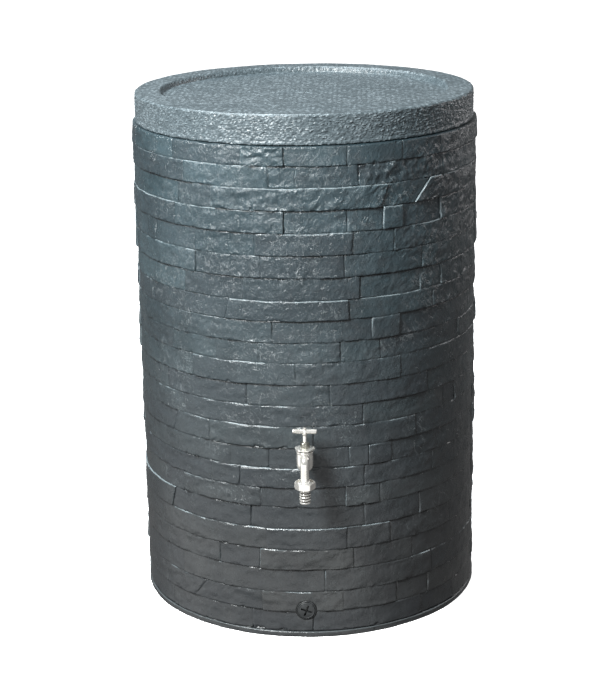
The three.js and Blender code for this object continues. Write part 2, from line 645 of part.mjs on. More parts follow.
const INNER_PAD = INNER_PAD_Y - TAP_PAD_Y; // wall thickness at the tap
const DRAIN_INNER_PAD = INNER_PAD_Y - DRAIN_PAD_Y;

const INNER_SEAL_THICKNESS = 2.5;
const BACKNUT_THICKNESS = 7;
const TAP_BACKNUT_CORNERS = 36;
const DRAIN_BACKNUT_CORNERS = 40;
const BUSH_LOW = -18.5;
const BUSH_FLANGE_LOW = 1.5; // leaves room for its seal
const BUSH_HIGH = 5;
const BUSH_SEAT = 2.6; // the plug's seal lies on it, inside the flange
const PLUG_RADIUS = 9;
const PLUG_LOW = -8;
const PLUG_HEAD_LOW = 4.1;
const PLUG_HEAD_HIGH = 6.4;
const PLUG_DOME = 0.4;
const CROSS_ARM = [20, 3, 4]; // length, width and depth of the cutter, half of it in the plug

function makeBacknut(hole, corners, padDepth) {
  const high = -(padDepth + INNER_SEAL_THICKNESS + 2 * GAP);
  const nut = hexagon(corners, high - BACKNUT_THICKNESS, high, 0.8, 0.8);
  return geometryOf(nut.subtract(disc(hole, high - BACKNUT_THICKNESS - OVERCUT, high + OVERCUT)));
}

function makeDrainBush() {
  const tube = disc(DRAIN_HOLE_RADIUS - 0.5, BUSH_LOW, BUSH_FLANGE_LOW + OVERCUT);
  const flange = revolve([
    [0, BUSH_FLANGE_LOW],
    [DRAIN_FLANGE_RADIUS, BUSH_FLANGE_LOW],
    [DRAIN_FLANGE_RADIUS, BUSH_HIGH - 0.8],
    [DRAIN_FLANGE_RADIUS - 0.8, BUSH_HIGH],
    [0, BUSH_HIGH],
  ]);
  const seat = disc(DRAIN_HEAD_RADIUS + 0.5, BUSH_SEAT, BUSH_HIGH + OVERCUT);
  const bore = disc(PLUG_RADIUS + THREAD_GAP, BUSH_LOW - OVERCUT, BUSH_HIGH + OVERCUT);
  return geometryOf(tube.add(flange).subtract(seat).subtract(bore));
}

// A threaded plug with a domed head, and a cross-shaped recess for the key.
function makeDrainPlug() {
  const plug = revolve([
    [0, PLUG_LOW],
    [PLUG_RADIUS - 0.6, PLUG_LOW],
    [PLUG_RADIUS, PLUG_LOW + 1],
    [PLUG_RADIUS, PLUG_HEAD_LOW],
    [DRAIN_HEAD_RADIUS, PLUG_HEAD_LOW],
    [DRAIN_HEAD_RADIUS, PLUG_HEAD_HIGH - 1],
    [DRAIN_HEAD_RADIUS - 1.4, PLUG_HEAD_HIGH],
    [0, PLUG_HEAD_HIGH + PLUG_DOME],
  ]);
  const arm = solid(new THREE.BoxGeometry(...CROSS_ARM).translate(0, 0, PLUG_HEAD_HIGH));
  const cross = arm.add(arm.rotate([0, 0, 90])).rotate([0, 0, CROSS_TURN]);
  return geometryOf(plug.subtract(cross));
}

// ---------- Assembly ----------

function part(name, geometry, material) {
  const mesh = new THREE.Mesh(geometry, material);
  mesh.name = name;
  return mesh;
}

function assembleTap() {
  const tap = new THREE.Group();
  tap.position.set(TAP_X, TAP_Y, TAP_Z);
  const tail = new THREE.Group();
  tail.position.set(0, -SPOUT_REACH, 0);
  tail.add(
    part("tail_washer", makeTailWasher(), rubber()),
    part("hose_tail", makeHoseTail(), chrome()),
    part("union_nut", makeUnionNut(), chrome()),
  );
  tap.add(
    part("tap_body", makeTapBody(), chrome()),
    part("bonnet_seal", seal(CHAMBER_RADIUS + GAP, 13, BODY_TOP, BONNET_LOW), rubber()),
    part("bonnet", makeBonnet(), chrome()),
    part("gland_nut", makeGlandNut(), chrome()),
    part("gland_packing", makeGlandPacking(), rubber()),
    part("valve_washer", makeValveWasher(), rubber()),
    part("jumper_valve", makeJumper(), brass()),
    part("spindle", makeSpindle(), chrome()),
    part("tbar_handle", makeTbar(), chrome()),
    part("handle_screw", makeHandleScrew(), chrome()),
    tail,
  );
  return tap;
}

function assembleTapFixings() {
  const fixings = new THREE.Group();
  fixings.position.set(TAP_X, TAP_PAD_Y, TAP_Z);
  fixings.rotation.x = Math.PI / 2;
  const innerSealLow = -(INNER_PAD + INNER_SEAL_THICKNESS + 2 * GAP);
  fixings.add(
    part("tap_outer_seal", seal(TAP_HOLE_RADIUS, 13.4, 0, OUTER_SEAL_ROOM), rubber()),
    part("tap_inner_seal", seal(TAP_HOLE_RADIUS, 17, innerSealLow, -INNER_PAD), rubber()),
    part("tap_backnut", makeBacknut(TAP_HOLE_RADIUS, TAP_BACKNUT_CORNERS, INNER_PAD), brass()),
  );
  return fixings;
}

function assembleDrain() {
  const drain = new THREE.Group();
  drain.position.set(0, DRAIN_PAD_Y, DRAIN_Z);
  drain.rotation.x = Math.PI / 2;
  const backnut = makeBacknut(DRAIN_HOLE_RADIUS, DRAIN_BACKNUT_CORNERS, DRAIN_INNER_PAD);
  drain.add(
    part("drain_bush_seal", seal(DRAIN_HOLE_RADIUS, 16.2, 0, BUSH_FLANGE_LOW), rubber()),
    part("drain_bush", makeDrainBush(), blackPlastic()),
    part("drain_backnut", backnut, blackPlastic()),
    part("plug_seal", seal(PLUG_RADIUS + 0.6, 13.8, BUSH_SEAT, PLUG_HEAD_LOW), rubber()),
    part("drain_plug", makeDrainPlug(), blackPlastic()),
  );
  return drain;
}

const rainBarrel = new THREE.Group();
rainBarrel.name = "rain_barrel";
const lid = part("lid", makeLid(), lidPlastic());
lid.position.z = LID_BOTTOM_Z;
rainBarrel.add(
  part("barrel_shell", makeTank(), slatePlastic()),
  lid,
  assembleTap(),
  assembleTapFixings(),
  assembleDrain(),
);

export default rainBarrel;
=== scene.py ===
"""Looks of the rain barrel: a stone-patterned tank and lid, a chrome tap and a drain plug.

Shapes are worked out in millimetres and turned into metres when a mesh is made. Angles round
the tank are in degrees from the tap, positive towards +X.
"""

import math
from collections import namedtuple

import bpy
import numpy as np
from mathutils import Matrix, Vector


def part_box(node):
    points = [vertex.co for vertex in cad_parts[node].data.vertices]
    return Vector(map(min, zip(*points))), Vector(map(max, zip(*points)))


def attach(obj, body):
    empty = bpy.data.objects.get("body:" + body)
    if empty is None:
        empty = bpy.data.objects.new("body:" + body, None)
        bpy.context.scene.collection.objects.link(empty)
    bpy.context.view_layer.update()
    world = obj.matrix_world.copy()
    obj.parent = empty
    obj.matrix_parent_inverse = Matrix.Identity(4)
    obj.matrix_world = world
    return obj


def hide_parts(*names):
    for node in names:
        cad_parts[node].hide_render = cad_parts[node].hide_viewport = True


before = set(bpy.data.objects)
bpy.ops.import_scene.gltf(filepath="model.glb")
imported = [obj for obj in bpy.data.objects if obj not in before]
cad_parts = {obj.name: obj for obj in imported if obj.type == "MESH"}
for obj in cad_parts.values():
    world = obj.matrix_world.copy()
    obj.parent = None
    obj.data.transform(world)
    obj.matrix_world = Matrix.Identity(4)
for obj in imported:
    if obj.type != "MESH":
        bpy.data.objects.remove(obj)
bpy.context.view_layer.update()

MM = 0.001

# ---------- Driving dimensions, in millimetres ----------

# Tank
WALL_RADIUS = 285
INNER_RADIUS = 279.5
FLOOR_Z = 12
SHOULDER_Z = 819
NECK_OUTER = 277.5
NECK_INNER = 271.5
NECK_TOP_Z = 863.5
RIM_TOP_Z = 10
UNDERSIDE_RINGS = (20, 108, 134, 203, 229, 270)
FLOOR_RINGS = (200, 120, 20)
INNER_PAD_RADIUS = 21
INNER_PAD_REACH = 278.2

# Lid
LID_TOP_RADIUS = 281.6
LID_LIP = 3.5
LID_BEAD = 6  # height of the thicker lower edge
LID_WALL = 3.8
LID_INSIDE = 279.2
TRAY_RADIUS = 241
TRAY_DEPTH = 9.6
TRAY_SLOPE = 5.5
TRAY_RINGS = 150

# Tap
TAP_X = 2.8
TAP_Y = -322
TAP_Z = 318
TAP_PAD_REACH = 286
TAP_HOLE = 10.7
SPOUT_RADIUS = 7.1
SPOUT_BORE = 4.6
SPOUT_REACH = 20
SPOUT_AXIS_Z = 12.4
SPOUT_BEND = 8
COLLAR_BOTTOM = -31.2
TAIL_BORE = 5.2
RIB_PITCH = 4.7
RIBS_TOP = -38
TBAR_Z = 53.4
TBAR_HALF = 19.5
TBAR_TURN = -2
BONNET_TURN = -8

# Drain
DRAIN_Z = 48
DRAIN_PAD_REACH = 283.2
DRAIN_HOLE = 13.4
CROSS_TURN = -20
CROSS_LENGTH = 18.8
CROSS_WIDTH = 3.3
CROSS_STEP = 0.09  # so that the floors of the cross's two arms don't lie in one plane

# The grid round the tank and the lid, and how it crowds and is filled at the stones' joints
COLUMNS = 960
ARC = WALL_RADIUS * math.pi / 180  # millimetres along the wall for each degree
EVEN_ANGLES = (np.arange(COLUMNS) * 360 / COLUMNS - 180)[None, :]
ROUND = np.arange(COLUMNS) / COLUMNS  # the share of a full turn at each column
HALF_GAP = 0.45  # half the width of a joint
EDGE_ROWS = (0.45, 0.9, 1.8, 3.2, 5.2, 7.8, 10.8, 14.0)
JOINT_COLUMNS = (0.45, 0.9, 1.8, 3.2)
CROWD = 8  # columns each side of an upright joint that move towards it
FILL = 5  # rows or columns each side of a joint up to which it is filled

# Stones, from the top course down: the height of the course's lower joint, then
# [start angle, relief] for each stone across the front.
COURSES = [
    [788, [[-75, 2], [-47, 2], [-20.5, 3.5], [-6.6, 3], [13, 3], [32, 2.5], [48, 3]]],
    [754, [[-80, 3], [-42, 3.5], [-11.5, 2], [-3.2, 2.5], [16.7, 1.5], [49.5, 2.5]]],
    [718, [[-80, 1.5], [-67, 1], [-45, 1.5], [-31, 4.5], [25.4, 2], [40, 4]]],
    [682, [[-80, 3], [-46.5, 3.5], [-7, 2], [12.9, 2.2], [24.8, 4.5], [32, 1], [48.5, 2.5]]],
    [646, [[-80, 2], [-58, 1.5], [-38, 1.8], [-16.4, 4], [14.7, 2.5], [28.8, 2.8]]],
    [610, [[-80, 2.5], [-38, 2.5], [-14.7, 3], [11.9, 2.8], [39.6, 3.5], [54.5, 2.5]]],
    [574, [[-80, 1], [-43, 1.5], [-20.7, 2], [17, 0.5], [39, 1], [49, 2.5]]],
    [541, [[-80, 1.5], [-62, 1.8], [-26.3, 4], [13.2, 2.2], [44.8, 2.5]]],
    [505, [[-80, 2.2], [-11.3, 1.8], [20.8, 3.5], [31, 1], [69, 0.5]]],
    [472, [[-80, 1.5], [-50, 2], [-30.8, 1.5], [-16, 2.2], [10.4, 1.8], [23.8, 1.5], [59.8, 2]]],
    [435, [[-80, 2], [-40.6, 3.2], [-4, 2.6], [31.3, 2.2]]],
    [400, [[-80, 1.5], [-53.8, 1.2], [-20.4, 1.8], [6.8, 2.2], [42.5, 1.5]]],
    [366, [[-80, 1], [-60, 2.5], [-45.7, 1.8], [17.7, 1.5], [50.5, 0.8], [58, 2]]],
    [329, [[-80, 2], [-50, 2.5], [-34.4, 3], [1.3, 2.5], [37.5, 1.8]]],
    [295, [[-80, 1.5], [-26.6, 1.2], [-13.2, 1.6], [13, 2.5], [19.5, 3], [27.8, 1.5]]],
    [261, [[-80, 1.5], [-34, 2.5], [-23.3, 3], [18, 2], [45, 2]]],
    [228, [[-80, 1], [-57, 1.5], [-46.9, 3.2], [-15.9, 1.5], [11.6, 3], [23.5, 1.8]]],
    [191, [[-80, 4], [-52.5, 2], [-19.8, 1.2], [18, 1.5], [39, 2]]],
    [154, [[-80, 3.2], [-14.6, 3.5], [12, 3], [27.2, 1.8], [54.5, 1]]],
    [119, [[-80, 2.8], [-31.6, 1.8], [-16.9, 4], [14.2, 2.5], [35.8, 1.2]]],
    [80, [[-80, 2], [-48.5, 2.2], [4.5, 3], [44.5, 2.8]]],
    [44.5, [[-80, 2.5], [-40, 2.5], [-16.5, 3], [10.6, 3], [29.6, 1.5], [43, 2]]],
    [RIM_TOP_Z, [[-80, 1.5], [-55, 2], [-20, 1.5], [0.5, 2], [39.8, 1.5], [56.8, 2]]],
]
PATTERN_TURN = 1.75
STONE_LEAN = 0.6  # how far a stone's foot stands out past its middle
FRONT_END = 77
FIRST_STONE_SHIFT = 14
BACK_LENGTH = (15, 36)
BACK_RELIEF = (0.8, 4.2)

# How far an upright joint leans from its foot to its head, by course number and start angle.
LEANING_JOINTS = {(3, 40): 34, (8, -26.3): 9, (22, -40): 30, (14, -50): 14, (18, -52.5): 12}
# How riven the faces of some stones are, by course number and start angle. Others get a random
# value from RIVEN_RANGE.
RIVEN = {(1, -47): 0.5, (1, -20.5): 2.2, (1, -6.6): 0.4, (1, 13): 0.3}
RIVEN |= {(2, -42): 0.8, (2, 16.7): 1.4, (3, -31): 1.4, (5, -16.4): 0.4}
RIVEN |= {(4, -46.5): 0.9, (4, 24.8): 0.5, (4, 48.5): 1.4}
RIVEN_RANGE = (0.4, 1.0)


# ---------- Noise ----------


def lattice_noise(x, y, seed, wrap=64):
    """Smooth noise from about -1 to 1 that repeats every wrap cells."""
    turns = np.random.default_rng(seed).uniform(0, 2 * np.pi, (wrap, wrap))
    column, row = np.floor(x).astype(int), np.floor(y).astype(int)
    right, up = x - column, y - row
    ease_x = right * right * right * (right * (right * 6 - 15) + 10)
    ease_y = up * up * up * (up * (up * 6 - 15) + 10)

    def corner(i, j):
        turn = turns[(column + i) % wrap, (row + j) % wrap]
        return np.cos(turn) * (right - i) + np.sin(turn) * (up - j)

    low = corner(0, 0) * (1 - ease_x) + corner(1, 0) * ease_x
    high = corner(0, 1) * (1 - ease_x) + corner(1, 1) * ease_x
    return 1.5 * (low * (1 - ease_y) + high * ease_y)


def fractal(x, y, seed, octaves=3):
    total = np.zeros(np.broadcast(x, y).shape)
    for octave in range(octaves):
        total += lattice_noise(x * 2**octave, y * 2**octave, seed + octave) / 2**octave
    return total


def smoothstep(low, high, value):
    share = np.clip((value - low) / (high - low), 0, 1)
    return share * share * (3 - 2 * share)


def terraces(value, steps):
    """Turns a smooth slope into flat steps with short risers, as split slate has."""
    level = value * steps
    return (np.floor(level) + smoothstep(0.3, 0.6, level - np.floor(level))) / steps


# ---------- Meshes ----------


def mesh_of(name, points, quads, triangles=()):
    quads = np.asarray(quads, np.int32).reshape(-1, 4)
    triangles = np.asarray(triangles, np.int32).reshape(-1, 3)
    mesh = bpy.data.meshes.new(name)
    mesh.vertices.add(len(points))
    mesh.vertices.foreach_set("co", (np.asarray(points) * MM).astype(np.float32).ravel())
    mesh.loops.add(quads.size + triangles.size)
    corners = np.concatenate([quads.ravel(), triangles.ravel()])
    mesh.loops.foreach_set("vertex_index", corners)
    mesh.polygons.add(len(quads) + len(triangles))
    four = 4 * np.arange(len(quads))
    three = quads.size + 3 * np.arange(len(triangles))
    mesh.polygons.foreach_set("loop_start", np.concatenate([four, three]).astype(np.int32))
    mesh.update(calc_edges=True)
    return mesh


def set_attribute(mesh, name, values):
    """Stores a value for each point of the mesh."""
    data = mesh.attributes.new(name, "FLOAT", "POINT").data
    data.foreach_set("value", values.astype(np.float32))


def object_of(name, mesh):
    made = bpy.data.objects.new(name, mesh)
    bpy.context.scene.collection.objects.link(made)
    return made


def ring_quads(rows, columns, closed=False):
    """Quads between rows of a grid that goes all the way round."""
    row = np.arange(rows if closed else rows - 1)[:, None] * columns
    above = (row + columns) % (rows * columns)
    here = np.arange(columns)[None, :]
    beside = (here + 1) % columns
    return np.stack([row + here, row + beside, above + beside, above + here], -1).reshape(-1, 4)


def capped(points, rows, columns, first, last):
    """A grid of rows that go round, closed at both ends by a fan to a point."""
    count = rows * columns
    here = np.arange(columns)
    beside = (here + 1) % columns
    bottom = np.stack([np.full(columns, count), beside, here], -1)
    edge = count - columns
    top = np.stack([np.full(columns, count + 1), edge + here, edge + beside], -1)
    closed = np.concatenate([points, [first, last]])
    return closed, ring_quads(rows, columns), np.concatenate([bottom, top])


def around(radius, turn, height):
    """Points at these radii, angles in degrees and heights, one row each."""
    angle = np.radians(turn)
    wide = np.broadcast_arrays(radius * np.sin(angle), -radius * np.cos(angle), height)
    return np.stack(wide, -1).reshape(-1, 3)


def bare(mesh_object):
    """The object's final mesh with modifiers applied. The object itself is removed."""
    graph = bpy.context.evaluated_depsgraph_get()
    mesh = bpy.data.meshes.new_from_object(mesh_object.evaluated_get(graph))
    bpy.data.objects.remove(mesh_object)
    return mesh


def cut(mesh, cutter, operation="DIFFERENCE"):
    """The mesh with the cutter's mesh taken away, or joined on."""
    made, helper = object_of("uncut", mesh), object_of("cutter", cutter)
    modifier = made.modifiers.new("cut", "BOOLEAN")
    modifier.operation = operation
    modifier.solver = "MANIFOLD"
    modifier.object = helper
    bpy.context.view_layer.update()
    result = bare(made)
    bpy.data.objects.remove(helper)
    return result


def rounded(profile, radius, steps=4):
    """A profile whose corners, apart from its two ends, are rounded to this radius."""
    points = [np.array(p, float) for p in profile]
    made = [points[0]]
    for before, here, after in zip(points, points[1:], points[2:]):
        back, on = before - here, after - here
        lengths = np.linalg.norm(back), np.linalg.norm(on)
        reach = min(radius, 0.45 * lengths[0], 0.45 * lengths[1])
        start, end = here + back / lengths[0] * reach, here + on / lengths[1] * reach
        for i in range(steps + 1):
            share = i / steps
            made.append((1 - share) ** 2 * start + 2 * share * (1 - share) * here + share**2 * end)
    made.append(points[-1])
    return made


def revolve(profile, steps, section=None, turn=0):
    """Points and faces of a profile of [radius, height] turned about Z, from the axis or the
    inside at the bottom, round the outside, to the top. section(angle) caps the radius."""
    angles = np.arange(steps) * 360 / steps
    cap = np.full(steps, np.inf) if section is None else section(angles - turn)
    on_axis = profile[0][0] == 0
    body = profile[1:-1] if on_axis else profile
    points = np.concatenate([around(np.minimum(r, cap), angles, z) for r, z in body])
    if on_axis:
        return capped(points, len(body), steps, (0, 0, profile[0][1]), (0, 0, profile[-1][1]))
    return points, ring_quads(len(body), steps, closed=True), ()


def hexagon(corners, rounding):
    """The section of a hexagonal bar, with slightly rounded corners."""

    def radius(angles):
        turn = (np.asarray(angles) + 30) % 60 - 30
        flat = corners / 2 * math.cos(math.pi / 6) / np.cos(np.radians(turn))
        return np.minimum(flat, corners / 2 - rounding)

    return radius


def shifted(shape, offset, outwards=False):
    """A shape moved to its place. With outwards, its +Z is turned to face away from the tank."""
    points, *faces = shape
    if outwards:
        points = points[:, [0, 2, 1]] * np.array([1, -1, 1])
    return points + np.array(offset), *faces


def turned_about_z(shape, angle):
    points, *faces = shape
    c, s = math.cos(math.radians(angle)), math.sin(math.radians(angle))
    return points @ np.array([[c, s, 0], [-s, c, 0], [0, 0, 1]]), *faces


def block(length, width, depth):
    """A box about the origin."""
    x, y, z = length / 2, width / 2, depth / 2
    corners = ((-x, -y), (x, -y), (x, y), (-x, y))
    points = np.array([(a, b, c) for c in (-z, z) for a, b in corners])
    sides = [(0, 1, 5, 4), (1, 2, 6, 5), (2, 3, 7, 6), (3, 0, 4, 7)]
    return points, [(3, 2, 1, 0), (4, 5, 6, 7)] + sides, []


def joined(shapes):
    """Several shapes as one."""
    points, quads, triangles, count = [], [], [], 0
    for shape in shapes:
        points.append(shape[0])
        quads.append(np.asarray(shape[1], int).reshape(-1, 4) + count)
        triangles.append(np.asarray(shape[2], int).reshape(-1, 3) + count)
        count += len(shape[0])
    return np.concatenate(points), np.concatenate(quads), np.concatenate(triangles)


def thread(radius, low, high, pitch, depth, bore=None):
    """A screwed tube or bar: a grid whose radius follows a helix, fading out at both ends."""
    steps = 96
    rows = int((high - low) / pitch * 8)
    turn = np.arange(steps)[None, :] * 360 / steps
    height = np.linspace(low, high, rows)[:, None]
    wave = np.abs(((height / pitch - turn / 360) % 1) * 2 - 1)
    fade = smoothstep(0, pitch, height - low) * smoothstep(0, pitch, high - height)
    outside = radius - depth * (1 - smoothstep(0.15, 0.85, wave) * fade)
    points = around(outside, turn, height)
    if bore is None:
        return capped(points, rows, steps, (0, 0, low), (0, 0, high))
    inside = [around(np.full_like(turn, bore, float), turn, z) for z in (high, low)]
    return np.concatenate([points, *inside]), ring_quads(rows + 2, steps, closed=True), ()


def piece(name, mesh, material, body, slot, replaced=(), crease=40):
    """A finished object of the barrel that rides on a CAD body."""
    mesh.shade_smooth()
    mesh.set_sharp_from_angle(angle=math.radians(crease))
    mesh.materials.clear()
    mesh.materials.append(material)
    made = object_of(name, mesh)
    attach(made, body)
    if replaced:
        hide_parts(*replaced)
    return made


# ---------- Material graphs ----------


class Graph:
    """A short way to build the nodes of a material or a world, called owner here."""

    def __init__(self, owner, shader, coordinates="Object"):
        self.owner = owner
        owner.use_nodes = True
        self.tree = owner.node_tree
        self.shader = self.tree.nodes[shader]
        self.place = self.node("ShaderNodeTexCoord").outputs[coordinates]

    def feed(self, socket, value):
        """Links a socket to the given one, or sets it. A tuple of three is an opaque colour
        where the socket takes a colour."""
        if isinstance(value, bpy.types.NodeSocket):
            self.tree.links.new(value, socket)
        elif socket.type == "RGBA":
            socket.default_value = (*value, 1)
        else:
            socket.default_value = value

    def node(self, kind, inputs=(), **settings):
        made = self.tree.nodes.new(kind)
        for name, value in settings.items():
            setattr(made, name, value)
        for name, value in dict(inputs).items():
            self.feed(made.inputs[name], value)
        return made

    def leaning(self, *turn):
        """The place, for a texture that leans by this turn and is drawn out along itself."""
        inputs = {"Vector": self.place, "Scale": (1, 1, 4), "Rotation": turn}
        return self.node("ShaderNodeMapping", inputs, vector_type="TEXTURE").outputs["Vector"]

    def noise(self, scale, detail, roughness, distortion=0, place=None):
        inputs = {"Vector": place or self.place, "Scale": scale, "Detail": detail}
        inputs |= {"Roughness": roughness, "Distortion": distortion}
        return self.node("ShaderNodeTexNoise", inputs).outputs["Fac"]

    def cells(self, scale):
        inputs = {"Vector": self.place, "Scale": scale}
        made = self.node("ShaderNodeTexVoronoi", inputs, feature="SMOOTH_F1")
        return made.outputs["Distance"]

    def axis(self, name):
        return self.node("ShaderNodeSeparateXYZ", {"Vector": self.place}).outputs[name]

    def attribute(self, name):
        return self.node("ShaderNodeAttribute", attribute_name=name).outputs["Fac"]

    def math(self, operation, *values):
        made = self.node("ShaderNodeMath", operation=operation)
        for socket, value in zip(made.inputs, values):
            self.feed(socket, value)
        return made.outputs["Value"]

    def product(self, first, second):
        return self.math("MULTIPLY", first, second)

    def ranged(self, value, low, high, to_low=0, to_high=1, kind="LINEAR"):
        inputs = {"Value": value, "From Min": low, "From Max": high}
        inputs |= {"To Min": to_low, "To Max": to_high}
        made = self.node("ShaderNodeMapRange", inputs, interpolation_type=kind)
        return made.outputs["Result"]

    def mixed(self, share, first, second):
        """A colour from first to second. The sockets go by number, as their names repeat."""
        made = self.node("ShaderNodeMix", data_type="RGBA")
        for number, value in ((0, share), (6, first), (7, second)):
            self.feed(made.inputs[number], value)
        return made.outputs[2]

    def bump(self, height, distance, strength, before=None):
        inputs = {"Height": height, "Distance": distance, "Strength": strength}
        if before is not None:
            inputs["Normal"] = before
        return self.node("ShaderNodeBump", inputs).outputs["Normal"]

    def finish(self, **sockets):
        """Sets the shader's sockets, named with _ for a space, and gives the owner."""
        for name, value in sockets.items():
            self.feed(self.shader.inputs[name.replace("_", " ")], value)
        return self.owner


def material_graph(name):
    return Graph(bpy.data.materials.new(name), "Principled BSDF")


def slate_plastic():
    """Satin moulded plastic with the grain, streaks and colour patches of split slate, and painted
    light:
    a lighter top, a warm reflection on the right, highlight on edges and crests, shade under stones
    that stand out.
    """
    g = material_graph("slate_plastic")
    cloudy = g.noise(9, 4, 0.6)
    grain = g.noise(420, 4, 0.65)
    leaning_left = g.leaning(0.5, -0.5, 0)
    leaning_right = g.leaning(-0.6, 0.6, 0)
    one_way = g.noise(190, 5, 0.65, 1, leaning_left)
    other_way = g.noise(170, 4, 0.6, 1, leaning_right)
    fibre = g.math("MAXIMUM", one_way, other_way)
    streak_field = g.noise(95, 3, 0.5, 0.8, leaning_left)
    off_line = g.math("ABSOLUTE", g.math("SUBTRACT", streak_field, 0.5))
    streak_where = g.ranged(g.noise(13, 2, 0.5), 0.52, 0.66)
    across, height = g.axis("X"), g.axis("Z")
    streak_high = g.product(streak_where, g.ranged(height, 0.1, 0.5, 0.15, 1))
    streak = g.product(g.ranged(off_line, 0, 0.022, 1, 0), streak_high)

    shade = g.ranged(cloudy, 0.35, 0.65)
    # Lighter and more teal towards the top: partly the plastic's colour, partly painted light where
    # the upper wall is lit more.
    low = g.mixed(shade, (0.025, 0.027, 0.028), (0.042, 0.044, 0.044))
    high = g.mixed(shade, (0.019, 0.037, 0.045), (0.040, 0.067, 0.079))
    base = g.mixed(g.ranged(height, 0.15, 0.7), low, high)
    # Warm patches, stronger towards +X: random tint, and a painted warm reflection on the right
    # side.
    warm_patches = g.ranged(g.noise(30, 3, 0.55, 0.6), 0.45, 0.75, 0, 0.45)
    warm_share = g.product(warm_patches, g.ranged(across, -0.1, 0.2, 0.3, 1))
    warm = g.mixed(warm_share, base, (0.034, 0.030, 0.031))
    tone_share = g.ranged(g.attribute("tone"), 0, 1, 0, 0.5)
    toned = g.mixed(tone_share, warm, (0.018, 0.022, 0.027))
    mottled = g.mixed(g.ranged(fibre, 0.55, 0.8, 0, 0.16), toned, (0.10, 0.12, 0.13))
    streaked = g.mixed(g.product(streak, 0.45), mottled, (0.26, 0.29, 0.30))
    # Edges and crests that stand out are lightened in patches: partly wear, partly painted highlight
    # where light catches them.
    wear_and_highlight_patches = g.ranged(g.noise(90, 3, 0.6), 0.3, 0.5, 0.4, 0.9)
    wear_and_highlight_share = g.product(g.attribute("worn"), wear_and_highlight_patches)
    light = g.mixed(wear_and_highlight_share, streaked, (0.26, 0.31, 0.33))
    # Darker in the joints, which are soiled, and under and beside stones that stand out: painted
    # shade.
    coloured = g.mixed(g.product(g.attribute("grime"), 0.9), light, (0.006, 0.007, 0.008))

    roughness = g.ranged(g.noise(55, 4, 0.6), 0.3, 0.7, 0.23, 0.38)
    relief = g.product(fibre, g.ranged(height, 0.1, 0.65, 0.3, 1))
    first = g.bump(relief, 0.0024, 0.9)
    second = g.bump(grain, 0.0005, 0.6, first)
    normal = g.bump(streak, 0.0009, 0.6, second)
    g.finish(Specular_IOR_Level=0.7)
    return g.finish(Base_Color=coloured, Roughness=roughness, Normal=normal)


def lid_plastic():
    """Moulded plastic with a hammered, leathery grain, painted shade in its pits and painted
    highlight on its peaks.
    """
    g = material_graph("lid_plastic")
    pits = g.cells(150)
    leather = g.noise(95, 4, 0.6, 0.5)
    grain = g.noise(500, 3, 0.6)
    cloudy = g.noise(7, 3, 0.55)
    base = g.mixed(g.ranged(cloudy, 0.35, 0.65), (0.075, 0.098, 0.110), (0.105, 0.130, 0.143))
    mottled = g.mixed(g.ranged(leather, 0.55, 0.75, 0, 0.4), base, (0.17, 0.20, 0.215))
    peaks = g.attribute("grain")
    # Darker in the grain's pits and lighter on its peaks: painted shade and painted highlight.
    pit_shade = g.mixed(g.ranged(peaks, 0, 0.5, 0.85, 0), mottled, (0.03, 0.042, 0.048))
    coloured = g.mixed(g.ranged(peaks, 0.6, 1, 0, 0.5), pit_shade, (0.26, 0.30, 0.32))
    roughness = g.ranged(leather, 0.3, 0.7, 0.27, 0.43)
    rough = g.ranged(g.attribute("crinkled"), 0, 1, 0.25, 1)
    first = g.bump(g.product(pits, rough), 0.0018, 0.7)
    second = g.bump(g.product(leather, rough), 0.0022, 0.8, first)
    normal = g.bump(grain, 0.0003, 0.4, second)
    return g.finish(Base_Color=coloured, Roughness=roughness, Normal=normal)


def chrome():
    """Bright, slightly milky plating over a casting, with faint waves and water marks, and
    a dark, rougher colour where a mesh marks painted shade and soiling."""
    g = material_graph("chrome")
    milky = g.ranged(g.noise(60, 3, 0.5), 0.35, 0.7)
    tint = g.mixed(milky, (0.96, 0.94, 0.90), (0.87, 0.84, 0.78))
    grime = g.attribute("grime")
    # Dark where the attribute is set: painted shade in grooves, with some soiling.
    coloured = g.mixed(g.product(grime, 0.85), tint, (0.09, 0.085, 0.075))
    clean = g.ranged(g.noise(300, 4, 0.6, 0.4), 0.35, 0.75, 0.10, 0.22)
    roughness = g.math("ADD", clean, g.product(grime, 0.3))
    normal = g.bump(g.noise(120, 2, 0.5), 0.0006, 0.25)
    return g.finish(Base_Color=coloured, Metallic=0.8, Roughness=roughness, Normal=normal)


def aged_metal(name, light, dark, marks, satin, grain):
    """Bare metal, mottled between two colours. marks, satin and grain are the noise of its
    colour, of its gloss and of its surface."""
    g = material_graph(name)
    tint = g.mixed(g.ranged(g.noise(*marks), 0.35, 0.7), light, dark)
    roughness = g.ranged(g.noise(satin[0], 3, 0.6), *satin[1:])
    normal = g.bump(g.noise(grain[0], 3, 0.6), *grain[1:])
    return g.finish(Base_Color=tint, Metallic=1.0, Roughness=roughness, Normal=normal)


def dull_chrome():
    """The gland nut's plating, gone grey."""
    colours = (0.45, 0.44, 0.38), (0.30, 0.30, 0.27)
    satin = (400, 0.35, 0.75, 0.22, 0.4)
    return aged_metal("dull_chrome", *colours, (260, 4, 0.6, 0.4), satin, (350, 0.0004, 0.3))


def brass():
    colours = (0.62, 0.45, 0.18), (0.38, 0.26, 0.11)
    satin = (320, 0.3, 0.7, 0.24, 0.42)
    return aged_metal("brass", *colours, (180, 4, 0.6, 0.5), satin, (500, 0.0003, 0.3))


